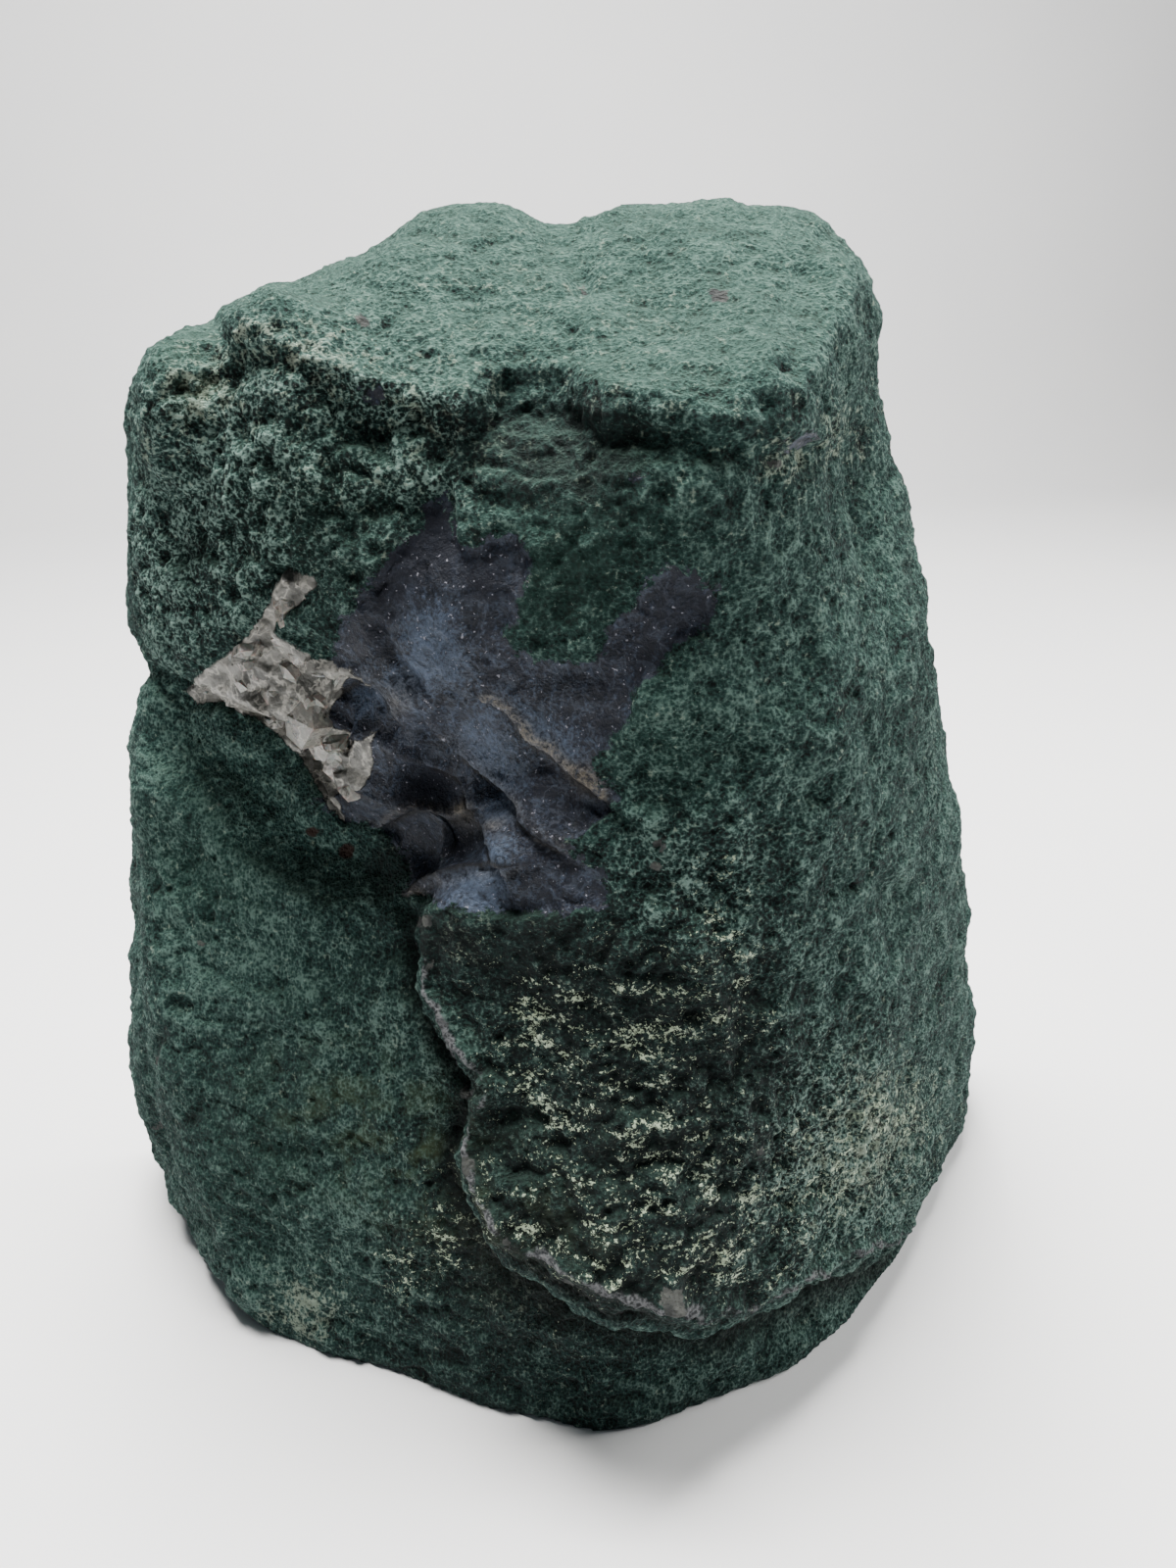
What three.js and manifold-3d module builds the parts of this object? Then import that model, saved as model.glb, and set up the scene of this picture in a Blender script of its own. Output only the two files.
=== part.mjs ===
import * as THREE from 'three';
import { mergeVertices } from 'three/addons/utils/BufferGeometryUtils.js';
import Module from 'manifold-3d';

// An amethyst agate geode, sawn open at the back and cut flat underneath so that it stands like a cathedral
// window. The rough green rind faces -Y, the sawn agate face and its hollow face +Y, and the base lies on z = 0.
// All sizes are in millimetres. Azimuths are in degrees, from -Y towards +X.

// Driving dimensions
const VIEW_HEIGHT = 294; // eye of the survey view above the floor, which scales all that was measured in it
const CUT_FACE = 80; // sawn face, along Y in the survey's own frame
const WALL = 24; // rind, agate and quartz between the outside and the hollow
const HOLLOW_CENTRE = new THREE.Vector3(-2, CUT_FACE, 138);
const HOLLOW_SIZE = new THREE.Vector3(90, 86, 114); // half width, depth, half height
const CLEARANCE = 0.35; // between the crust and the agate that carries it
const ROCK_CELL = 11.2; // facets of the rind are about this wide
const HOLLOW_CELL = 14;

// Six-sided crystals: root in the ground, prism and pyramid above it, and how far they lean at most
const AMETHYST = { radius: 20, root: 14, height: 3, tip: 17, lean: 0.4 };
const AMETHYST_COUNT = 92;
const QUARTZ = { radius: 4.5, root: 5, height: 1, tip: 2.6, lean: 0.9 };
const QUARTZ_STEP = 27; // pixels between the quartz crystals of the broken edge
const QUARTZ_JITTER = 0.6; // share of the step
const QUARTZ_INSET = 4; // pixels inside the outline of the broken quartz
const QUARTZ_SEED = 200;
const SMALLEST_CRYSTAL = 0.75; // share of the full size, the largest being as much above it

// The survey view: a level eye turned YAW from +Y and tipped down, in a frame of 1200 by 1600 pixels
const YAW = THREE.MathUtils.degToRad(9.3);
const PITCH = THREE.MathUtils.degToRad(25);
const FOCAL_PIXELS = 1202;
const CENTRE_PIXEL = [600, 800];
const EYE = new THREE.Vector3(-0.1786, -0.896, 1).multiplyScalar(VIEW_HEIGHT);
const RIGHT = new THREE.Vector3(Math.cos(YAW), -Math.sin(YAW), 0);
const AHEAD = new THREE.Vector3(Math.sin(YAW), Math.cos(YAW), 0);
const LOOK = AHEAD.clone().multiplyScalar(Math.cos(PITCH)).setZ(-Math.sin(PITCH));
const UP = AHEAD.clone().multiplyScalar(Math.sin(PITCH)).setZ(Math.cos(PITCH));

// The geode's outline in the survey view, clockwise from the upper left corner of its top
const OUTLINE = [
  [230, 322], [275, 299], [302, 297], [340, 280], [380, 262], [420, 238], [450, 222], [478, 212], [505, 211],
  [530, 222], [560, 236], [600, 228], [632, 212], [740, 212], [790, 221], [832, 233], [866, 262], [890, 288],
  [897, 330], [893, 385], [904, 420], [916, 478], [927, 500], [931, 555], [945, 650], [972, 790], [985, 870],
  [999, 950], [1009, 1030], [1009, 1120], [1000, 1152], [964, 1198], [934, 1240], [905, 1284], [873, 1328],
  [860, 1370], [832, 1398], [790, 1408], [710, 1440], [650, 1474], [610, 1484], [560, 1480], [520, 1466],
  [440, 1438], [380, 1414], [290, 1374], [258, 1345], [224, 1310], [206, 1288], [190, 1258], [182, 1240],
  [152, 1234], [143, 1200], [134, 1130], [134, 1000], [140, 945], [130, 905], [135, 860], [137, 760], [148, 708],
  [164, 686], [145, 655], [128, 612], [121, 580], [129, 530], [134, 480], [139, 420], [145, 392], [160, 365],
  [190, 345], [226, 338],
];
const OUTLINE_INSET = 1.5;
const OUTLINE_ROUNDING = 9;

// Faces of the outer layer: azimuth, and the distance from the axis at each of these heights
const HEIGHTS = [0, 60, 132, 190, 245, 300];
const LAYER = {
  front: [-11.3, [60, 67, 51, 42, 36, 26]],
  frontLeft: [-30.9, [66, 72, 50, 41, 38, 30]],
  left: [-59.3, [97, 101, 95, 86, 75, 52]],
  leftWall: [-90, [142, 152, 139, 132, 126, 112]],
  frontRight: [18.7, [63, 62, 55, 47, 38, 32]],
  right: [48.7, [74, 71, 67, 58, 43, 30]],
  rightBack: [66, [118, 110, 98, 86, 64, 44]],
  rightWall: [90, [146, 136, 116, 102, 84, 74]],
};
const LAYER_ROUNDING = 14;

// The top slopes down towards the front
const TOP_POINT = new THREE.Vector3(-14.6, -31.3, 261.4);
const TOP_AZIMUTH = -9.3;
const TOP_SLOPE = 22.4;
const TOP_ROUNDING = 4;

// At the lower left and all along the foot the outer layer is broken away, down to these faces
const CORE = {
  lowerLeft: [-29.3, [56, 53, 31, 16, 12, 12]],
  underFront: [-6, [55, 49.5, 34, 20, 18, 18]],
  underRight: [25, [55, 51, 46, 38, 30, 20]],
};
const CORE_ROUNDING = 16;
const CORE_EDGE = [
  [60, 706], [165, 694], [205, 712], [280, 745], [318, 790], [345, 835], [415, 885], [428, 930], [432, 1010],
  [455, 1060], [492, 1112], [466, 1180], [485, 1225], [520, 1278], [560, 1300], [610, 1326], [660, 1338],
  [710, 1350], [760, 1342], [820, 1312], [880, 1290], [960, 1240], [1060, 1300], [1000, 1560], [100, 1560],
];
const EDGE_ROUNDING = 2.5;

// Patches of the surface that lie deeper: depth, width of the slope around them, and outline in the view
const PATCHES = {
  brokenAgate: [2, 2, [
    [459, 488], [541, 572], [519, 655], [600, 674], [680, 568], [728, 620], [672, 690], [638, 740], [632, 815],
    [590, 870], [614, 915], [560, 934], [425, 930], [415, 890], [352, 843], [279, 748], [190, 706], [230, 672],
    [276, 598], [322, 586], [345, 660], [375, 593],
  ]],
  underTheLip: [9, 5, [
    [425, 428], [474, 436], [505, 404], [560, 396], [620, 424], [700, 436], [650, 452], [540, 462], [455, 456],
  ]],
  underTheQuartz: [7, 16, [
    [165, 694], [205, 712], [280, 745], [318, 790], [345, 835], [415, 885], [410, 915], [320, 890], [250, 840],
    [180, 770],
  ]],
  leftOfTheLip: [5, 6, [[318, 384], [400, 408], [424, 432], [400, 470], [330, 440]]],
  quartzBreak: [4, 10, [
    [304, 581], [345, 610], [310, 625], [330, 672], [376, 690], [377, 799], [345, 828], [276, 740], [191, 705],
    [234, 673], [283, 598],
  ]],
};
const QUARTZ_EDGE = PATCHES.quartzBreak[2];

// Lumps and hollows: place in the view, radius, and height above the surface, less than zero for a hollow
const LUMPS = [
  { name: 'right dome of the top', at: [720, 262], radius: 34, height: 7 },
  { name: 'left dome of the top', at: [470, 262], radius: 30, height: 5 },
  { name: 'valley between the domes', at: [570, 262], radius: 16, height: -4 },
  { name: 'corner of the top', at: [262, 345], radius: 16, height: 5 },
  { name: 'lip', at: [660, 425], radius: 24, height: 5 },
  { name: 'hollow under the lip', at: [545, 480], radius: 26, height: -6 },
  { name: 'right shoulder', at: [800, 420], radius: 18, height: 4 },
  { name: 'pit below the shoulder', at: [815, 452], radius: 7, height: -4 },
  { name: 'groove on the right', at: [880, 500], radius: 20, height: -5 },
  { name: 'bulge on the left', at: [300, 540], radius: 34, height: 4 },
  { name: 'dip on the left', at: [400, 480], radius: 20, height: -4 },
  { name: 'hollow of the left flank', at: [195, 560], radius: 18, height: -3 },
  { name: 'pocket on the right', at: [925, 940], radius: 14, height: -4 },
  { name: 'pillow in the break', at: [455, 665], radius: 17, height: 4 },
  { name: 'scoop in the break', at: [432, 812], radius: 17, height: -10 },
  { name: 'floor of the scoop', at: [445, 850], radius: 8, height: -5 },
  { name: 'rib beside the scoop', at: [515, 835], radius: 13, height: 4 },
  { name: 'wedge under the scoop', at: [470, 915], radius: 12, height: 4 },
  { name: 'deep corner of the recess', at: [408, 880], radius: 13, height: -9 },
  { name: 'toe of the front', at: [640, 1290], radius: 30, height: 5 },
  { name: 'toe of the front right', at: [740, 1300], radius: 26, height: 3 },
];

// The low shoulder behind the upper left corner, an egg that melts into the flank
const SHOULDER = { at: [192, 400], y: 44, size: new THREE.Vector3(21, 30, 22), rounding: 6 };

// Swells of the whole surface: wavelength and height
const SWELLS = [[70, 1.1], [26, 0.7]];
const SWELL_WAVES = 7;
const SHORTEST_WAVE = 0.8; // share of the wavelength
const WAVE_SPREAD = 0.45;
const GOLDEN_ANGLE = 2.4;

// Wall of the hollow: how softly the egg meets the outside's copy, and its own waviness
const WALL_ROUNDING = 20;
const WALL_WAVES = { height: 2.5, length: 60, seed: 5 };

// Depths that are tried along a ray of the view
const NEAREST = 100;
const FARTHEST = 700;
const RAY_STEP = 0.5;

const wasm = await Module();
wasm.setup();

/** A steady number from 0 to 1 for an index and a seed. */
function chance(index, seed) {
  const value = Math.sin(index * 12.9898 + seed * 78.233) * 43758.5453;
  return value - Math.floor(value);
}

/** The larger of two values, with the corner between them rounded over a width. */
function smoothMax(a, b, width) {
  const near = Math.max(width - Math.abs(a - b), 0) / width;
  return Math.max(a, b) + near * near * width * 0.25;
}

function directionOf(azimuth, slope) {
  const turn = THREE.MathUtils.degToRad(azimuth);
  const rise = THREE.MathUtils.degToRad(slope);
  const level = Math.cos(rise);
  return new THREE.Vector3(Math.sin(turn) * level, -Math.cos(turn) * level, Math.sin(rise));
}

/** How far a point is in front of a face whose distance from the axis changes with height. */
function beyondFace(p, [azimuth, offsets]) {
  const top = HEIGHTS.length - 1;
  const step = THREE.MathUtils.clamp(HEIGHTS.findIndex((height) => height > p.z), 1, top);
  const above = p.z >= HEIGHTS[top] ? top : step;
  const below = above - 1;
  const share = THREE.MathUtils.clamp((p.z - HEIGHTS[below]) / (HEIGHTS[above] - HEIGHTS[below]), 0, 1);
  const offset = THREE.MathUtils.lerp(offsets[below], offsets[above], share);
  return p.dot(directionOf(azimuth, 0)) - offset;
}

function beyondFaces(p, faces, rounding) {
  const distances = Object.values(faces).map((face) => beyondFace(p, face));
  return distances.reduce((a, b) => smoothMax(a, b, rounding));
}

/** Pixel of the survey view where a point shows, and the size of a pixel there. */
function seen(p) {
  const offset = p.clone().sub(EYE);
  const depth = offset.dot(LOOK);
  const pixel = [
    CENTRE_PIXEL[0] + (FOCAL_PIXELS * offset.dot(RIGHT)) / depth,
    CENTRE_PIXEL[1] - (FOCAL_PIXELS * offset.dot(UP)) / depth,
  ];
  return { pixel, scale: depth / FOCAL_PIXELS };
}

function rayThrough([u, v]) {
  return LOOK.clone()
    .addScaledVector(RIGHT, (u - CENTRE_PIXEL[0]) / FOCAL_PIXELS)
    .addScaledVector(UP, (CENTRE_PIXEL[1] - v) / FOCAL_PIXELS);
}

/** Distance in pixels from a pixel to an outline, less than zero inside it. */
function outlineDistance([u, v], outline) {
  let nearest = Infinity;
  let inside = false;
  outline.forEach(([u0, v0], index) => {
    const [u1, v1] = outline[(index + 1) % outline.length];
    const run = [u1 - u0, v1 - v0];
    const along = ((u - u0) * run[0] + (v - v0) * run[1]) / (run[0] ** 2 + run[1] ** 2);
    const share = THREE.MathUtils.clamp(along, 0, 1);
    nearest = Math.min(nearest, Math.hypot(u - u0 - share * run[0], v - v0 - share * run[1]));
    if (v0 > v !== v1 > v && u < u0 + ((v - v0) * run[0]) / run[1]) {
      inside = !inside;
    }
  });
  return inside ? -nearest : nearest;
}

/** Sum of sine waves in spread directions, about -1 to 1. */
function swell(p, wavelength, seed) {
  let total = 0;
  for (let index = 0; index < SWELL_WAVES; index += 1) {
    const z = -1 + (2 * index + 1) / SWELL_WAVES;
    const turn = GOLDEN_ANGLE * index + seed;
    const across = Math.sqrt(1 - z * z);
    const travel = p.x * across * Math.cos(turn) + p.y * across * Math.sin(turn) + p.z * z;
    const length = wavelength * (SHORTEST_WAVE + WAVE_SPREAD * chance(index, seed));
    total += Math.sin(2 * Math.PI * (travel / length + chance(index, seed + 10)));
  }
  return total / Math.sqrt(SWELL_WAVES);
}

const TOP_NORMAL = directionOf(TOP_AZIMUTH, 90 - TOP_SLOPE);

/** The rock before its lumps: layer faces, sloping top and the recess where the layer is gone. */
function facetField(p) {
  const layer = beyondFaces(p, LAYER, LAYER_ROUNDING);
  const top = p.clone().sub(TOP_POINT).dot(TOP_NORMAL);
  const { pixel, scale } = seen(p);
  const recess = Math.min(beyondFaces(p, CORE, CORE_ROUNDING), -outlineDistance(pixel, CORE_EDGE) * scale);
  return smoothMax(smoothMax(layer, top, TOP_ROUNDING), recess, EDGE_ROUNDING);
}

/** First point where the ray through a pixel meets a field. */
function hit(field, pixel) {
  const ray = rayThrough(pixel);
  for (let depth = NEAREST; depth < FARTHEST; depth += RAY_STEP) {
    const point = EYE.clone().addScaledVector(ray, depth);
    if (field(point) < 0) {
      return point;
    }
  }
  throw new Error(`nothing is seen at ${pixel}`);
}

const lumpsPlaced = LUMPS.map(({ at, radius, height }) => ({ centre: hit(facetField, at), radius, height }));
const shoulderRay = rayThrough(SHOULDER.at);
const shoulderCentre = EYE.clone().addScaledVector(shoulderRay, (SHOULDER.y - EYE.y) / shoulderRay.y);

/** Signed distance to the outside of the whole rock, less than zero inside it. */
function rockField(p) {
  const { pixel, scale } = seen(p);
  let value = facetField(p);
  lumpsPlaced.forEach(({ centre, radius, height }) => {
    value -= height * Math.exp(-p.distanceToSquared(centre) / radius ** 2);
  });
  Object.values(PATCHES).forEach(([depth, slope, outline]) => {
    const inward = -outlineDistance(pixel, outline) * scale;
    value += depth * THREE.MathUtils.clamp(0.5 + inward / slope, 0, 1);
  });
  const shoulder = p.clone().sub(shoulderCentre).divide(SHOULDER.size).length() - 1;
  value = -smoothMax(-value, -shoulder * SHOULDER.size.x, SHOULDER.rounding);
  value = smoothMax(value, outlineDistance(pixel, OUTLINE) * scale - OUTLINE_INSET, OUTLINE_ROUNDING);
  SWELLS.forEach(([wavelength, height], index) => {
    value -= height * swell(p, wavelength, index + 1);
  });
  return value;
}

/** Signed distance to the wall of the hollow: an egg that keeps WALL away from the outside. */
function hollowField(p) {
  const egg = p.clone().sub(HOLLOW_CENTRE).divide(HOLLOW_SIZE).length() - 1;
  const wall = smoothMax(egg * HOLLOW_SIZE.y, rockField(p) + WALL, WALL_ROUNDING);
  return wall - WALL_WAVES.height * swell(p, WALL_WAVES.length, WALL_WAVES.seed);
}

function slopeOf(field, p) {
  const step = 0.5;
  const gradient = new THREE.Vector3();
  ['x', 'y', 'z'].forEach((axis) => {
    const ahead = p.clone();
    const behind = p.clone();
    ahead[axis] += step;
    behind[axis] -= step;
    gradient[axis] = (field(ahead) - field(behind)) / (2 * step);
  });
  return gradient;
}

/** Moves a point onto the surface of a field, by no more than a reach. */
function settle(field, p, reach) {
  const rounds = 3;
  const leastSteepness = 0.2;
  const settled = p.clone();
  for (let round = 0; round < rounds; round += 1) {
    const slope = slopeOf(field, settled);
    settled.addScaledVector(slope, -field(settled) / Math.max(slope.lengthSq(), leastSteepness));
  }
  return settled.sub(p).clampLength(0, reach).add(p);
}

/**
 * A closed skin where a field is zero: one point in every cell that the surface passes through, and a quad
 * around every cell edge that it crosses.
 */
function skinOf(field, box, cell) {
  const reach = 0.45 * cell;
  const counts = box.getSize(new THREE.Vector3()).divideScalar(cell).ceil().addScalar(1).toArray();
  const at = ([i, j, k]) => (i * counts[1] + j) * counts[2] + k;
  const placeOf = ([i, j, k]) => new THREE.Vector3(i, j, k).multiplyScalar(cell).add(box.min);
  const shifted = (corner, move) => corner.map((value, axis) => value + move[axis]);
  const values = new Float64Array(counts[0] * counts[1] * counts[2]);
  const corners = [];
  for (let i = 0; i < counts[0]; i += 1) {
    for (let j = 0; j < counts[1]; j += 1) {
      for (let k = 0; k < counts[2]; k += 1) {
        corners.push([i, j, k]);
        values[at([i, j, k])] = field(placeOf([i, j, k]));
      }
    }
  }
  const axes = [[1, 0, 0], [0, 1, 0], [0, 0, 1]];
  const crosses = (start, end) => values[at(start)] < 0 !== values[at(end)] < 0;
  const points = [];
  const pointOf = new Map();

  function pointIn(cellCorner) {
    const crossings = [];
    axes.forEach((axis, index) => {
      const [second, third] = [axes[(index + 1) % 3], axes[(index + 2) % 3]];
      [[0, 0], [1, 0], [0, 1], [1, 1]].forEach(([a, b]) => {
        const start = cellCorner.map((value, n) => value + a * second[n] + b * third[n]);
        const end = shifted(start, axis);
        if (crosses(start, end)) {
          const share = values[at(start)] / (values[at(start)] - values[at(end)]);
          crossings.push(placeOf(start).lerp(placeOf(end), share));
        }
      });
    });
    const total = crossings.reduce((sum, p) => sum.add(p), new THREE.Vector3());
    return settle(field, total.divideScalar(crossings.length), reach);
  }

  function indexIn(cellCorner) {
    const key = at(cellCorner);
    if (!pointOf.has(key)) {
      pointOf.set(key, points.length);
      points.push(pointIn(cellCorner));
    }
    return pointOf.get(key);
  }

  const triangles = [];
  corners.forEach((corner) => {
    axes.forEach((axis, index) => {
      const end = shifted(corner, axis);
      if (end[index] >= counts[index] || !crosses(corner, end)) {
        return;
      }
      const [second, third] = [axes[(index + 1) % 3], axes[(index + 2) % 3]];
      const around = [[0, 0], [1, 0], [1, 1], [0, 1]].map(([a, b]) =>
        indexIn(corner.map((value, n) => value - a * second[n] - b * third[n])),
      );
      if (values[at(corner)] >= 0) {
        around.reverse();
      }
      const [p0, p1, p2, p3] = around.map((n) => points[n]);
      const [a, b, c, d] = around;
      if (p0.distanceTo(p2) <= p1.distanceTo(p3)) {
        triangles.push([a, b, c], [a, c, d]);
      } else {
        triangles.push([a, b, d], [b, c, d]);
      }
    });
  });
  return { points, triangles };
}

function solidOf({ points, triangles }) {
  const vertProperties = Float32Array.from(points.flatMap((p) => p.toArray()));
  const triVerts = Uint32Array.from(triangles.flat());
  return new wasm.Manifold(new wasm.Mesh({ numProp: 3, vertProperties, triVerts }));
}

/** A closed geometry as a solid: shared corners are merged and slivers on the axis dropped. */
function solidOfGeometry(geometry) {
  const bare = geometry.clone();
  bare.deleteAttribute('normal');
  bare.deleteAttribute('uv');
  const merged = mergeVertices(bare);
  const position = merged.getAttribute('position');
  const pointAt = (n) => new THREE.Vector3().fromBufferAttribute(position, n);
  const points = Array.from({ length: position.count }, (_, n) => pointAt(n));
  const corners = Array.from(merged.index.array);
  const triangles = [];
  for (let n = 0; n < corners.length; n += 3) {
    const [a, b, c] = corners.slice(n, n + 3);
    if (a !== b && b !== c && c !== a) {
      triangles.push([a, b, c]);
    }
  }
  return solidOf({ points, triangles });
}

/** A skin with every point moved along its outward normal. */
function offsetSkin({ points, triangles }, distance) {
  const normals = points.map(() => new THREE.Vector3());
  triangles.forEach((triangle) => {
    const [a, b, c] = triangle.map((n) => points[n]);
    const normal = b.clone().sub(a).cross(c.clone().sub(a));
    triangle.forEach((n) => normals[n].add(normal));
  });
  const moved = points.map((p, n) => p.clone().addScaledVector(normals[n].normalize(), distance));
  return { points: moved, triangles };
}

/** A six-sided crystal along +Y with its root below y = 0 and a pyramid on top. */
function crystalGeometry(radius, height, tip, root) {
  const profile = [[0, -root], [radius, -root], [radius, height], [0, height + tip]];
  return new THREE.LatheGeometry(profile.map(([x, y]) => new THREE.Vector2(x, y)), 6);
}

/** A crystal standing on a point, leaning away from an axis by a steady chance. */
function crystalSolid(foot, axis, shape, seed) {
  const lean = new THREE.Vector3(chance(seed, 1) - 0.5, chance(seed, 2) - 0.5, chance(seed, 3) - 0.5);
  const direction = axis.clone().addScaledVector(lean, shape.lean).normalize();
  const turn = new THREE.Quaternion().setFromUnitVectors(new THREE.Vector3(0, 1, 0), direction);
  const size = SMALLEST_CRYSTAL + 2 * (1 - SMALLEST_CRYSTAL) * chance(seed, 4);
  const geometry = crystalGeometry(shape.radius * size, shape.height * size, shape.tip * size, shape.root);
  geometry.rotateY(chance(seed, 5) * Math.PI);
  geometry.applyQuaternion(turn);
  geometry.translate(foot.x, foot.y, foot.z);
  return solidOfGeometry(geometry);
}

function joined(solids) {
  return solids.reduce((whole, solid) => whole.add(solid));
}

const MARGIN = 16; // rock drawn past the saw cuts
const ROCK_BOX = new THREE.Box3(
  new THREE.Vector3(-170, -100, -MARGIN),
  new THREE.Vector3(170, CUT_FACE + MARGIN, 320),
);
const BLOCK_SIDE = 400; // larger than the rock

/** Everything on the rock's side of the sawn face and above the floor. */
function sawnBlock() {
  const block = new THREE.BoxGeometry(BLOCK_SIDE, BLOCK_SIDE, BLOCK_SIDE);
  block.translate(0, CUT_FACE - BLOCK_SIDE / 2, BLOCK_SIDE / 2);
  return solidOfGeometry(block);
}

/** Rough quartz crystals that stand out of the broken edge of the layer. */
function quartzCrystals() {
  const reach = QUARTZ_STEP * QUARTZ_JITTER;
  const solids = [];
  const us = QUARTZ_EDGE.map(([u]) => u);
  const vs = QUARTZ_EDGE.map(([, v]) => v);
  for (let v = Math.min(...vs); v < Math.max(...vs); v += QUARTZ_STEP) {
    for (let u = Math.min(...us); u < Math.max(...us); u += QUARTZ_STEP) {
      const seed = solids.length + QUARTZ_SEED;
      const pixel = [u + reach * chance(seed, 6), v + reach * chance(seed, 7)];
      if (outlineDistance(pixel, QUARTZ_EDGE) < -QUARTZ_INSET) {
        const foot = hit(rockField, pixel);
        solids.push(crystalSolid(foot, slopeOf(rockField, foot).normalize(), QUARTZ, seed));
      }
    }
  }
  return solids;
}

/** Amethyst crystals spread evenly over the wall of the hollow, pointing into it. */
function amethystCrystals() {
  const solids = [];
  for (let index = 0; index < AMETHYST_COUNT; index += 1) {
    const inward = -(index + 0.5) / AMETHYST_COUNT;
    const turn = GOLDEN_ANGLE * index;
    const across = Math.sqrt(1 - inward * inward);
    const ray = new THREE.Vector3(Math.cos(turn) * across, inward, Math.sin(turn) * across);
    const foot = HOLLOW_CENTRE.clone();
    while (hollowField(foot) < 0) {
      foot.addScaledVector(ray, RAY_STEP);
    }
    const axis = slopeOf(hollowField, foot).normalize().negate();
    solids.push(crystalSolid(foot, axis, AMETHYST, index));
  }
  return solids;
}

function buildSolids() {
  const past = MARGIN / 2;
  const rock = (p) => Math.max(rockField(p), p.y - CUT_FACE - past, -p.z - past);
  const hollow = (p) => Math.max(hollowField(p), p.y - CUT_FACE - past);
  const hollowSkin = skinOf(hollow, ROCK_BOX, HOLLOW_CELL);
  const block = sawnBlock();
  const outside = joined([solidOf(skinOf(rock, ROCK_BOX, ROCK_CELL)), ...quartzCrystals()]);
  const body = outside.subtract(solidOf(hollowSkin)).intersect(block);
  const bed = solidOf(offsetSkin(hollowSkin, -CLEARANCE));
  const crust = joined(amethystCrystals()).intersect(bed).intersect(block);
  return { body, crust };
}

function meshOf(solid, name, material, origin) {
  const { vertProperties, triVerts, numProp } = solid.getMesh();
  const geometry = new THREE.BufferGeometry();
  geometry.setAttribute('position', new THREE.BufferAttribute(vertProperties, numProp));
  geometry.setIndex(new THREE.BufferAttribute(triVerts, 1));
  const flat = geometry.toNonIndexed();
  flat.translate(-origin.x, -origin.y, -origin.z);
  flat.computeVertexNormals();
  const mesh = new THREE.Mesh(flat, material);
  mesh.name = name;
  return mesh;
}

/** Middle of the rock's footprint on the floor, which becomes the origin. */
function originOf(solid) {
  const { min, max } = solid.boundingBox();
  return new THREE.Vector3((min[0] + max[0]) / 2, (min[1] + max[1]) / 2, 0);
}

const rindMaterial = new THREE.MeshStandardMaterial({ color: 0x3f5f52, roughness: 0.85, metalness: 0 });
const amethystMaterial = new THREE.MeshStandardMaterial({ color: 0x6b4a9c, roughness: 0.15, metalness: 0 });

const { body, crust } = buildSolids();
const origin = originOf(body);
const geode = new THREE.Group();
geode.add(meshOf(body, 'geode_body', rindMaterial, origin));
geode.add(meshOf(crust, 'amethyst_crust', amethystMaterial, origin));

export default geode;
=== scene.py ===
# %% [markdown]
# An amethyst agate cathedral geode: a lump of lava rind and agate, sawn flat underneath and behind, with a hollow
# full of amethyst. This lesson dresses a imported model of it. The model gives the size and the crystals of the
# hollow, and the script grows a finer rock around the same faces and gives every surface its material.

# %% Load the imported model
import math
from functools import partial

import bpy
import numpy as np
from mathutils import Matrix, Vector


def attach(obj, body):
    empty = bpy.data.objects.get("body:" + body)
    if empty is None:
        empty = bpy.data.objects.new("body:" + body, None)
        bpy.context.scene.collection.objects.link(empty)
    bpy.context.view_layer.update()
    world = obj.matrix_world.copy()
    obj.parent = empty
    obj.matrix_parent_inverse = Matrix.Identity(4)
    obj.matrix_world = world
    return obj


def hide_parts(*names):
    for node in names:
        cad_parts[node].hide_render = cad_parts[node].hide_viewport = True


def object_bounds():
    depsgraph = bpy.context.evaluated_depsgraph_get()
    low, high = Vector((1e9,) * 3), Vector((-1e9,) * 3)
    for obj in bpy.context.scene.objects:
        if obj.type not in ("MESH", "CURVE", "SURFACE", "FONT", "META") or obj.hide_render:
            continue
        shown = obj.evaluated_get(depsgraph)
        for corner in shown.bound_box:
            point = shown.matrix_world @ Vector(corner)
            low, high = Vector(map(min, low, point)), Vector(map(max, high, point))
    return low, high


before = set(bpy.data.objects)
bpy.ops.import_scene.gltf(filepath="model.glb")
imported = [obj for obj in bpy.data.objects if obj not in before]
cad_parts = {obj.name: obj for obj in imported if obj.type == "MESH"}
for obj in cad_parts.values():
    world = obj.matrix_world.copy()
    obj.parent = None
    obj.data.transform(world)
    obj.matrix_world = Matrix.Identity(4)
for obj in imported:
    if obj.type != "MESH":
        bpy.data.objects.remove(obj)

model_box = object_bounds()
print("model box in metres", [list(corner) for corner in model_box])

# %% [markdown]
# The rind was measured from one photograph, so its marks are kept as pixels of that view and are thrown onto the
# rock along the view's rays. The view stood as high as the rock, turned a little to the right and tipped down 25
# degrees. One number carries the scale: the height of the eye. Everything below is in millimetres until the
# meshes are made, with x to the right, y away from the rind and z up.

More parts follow.
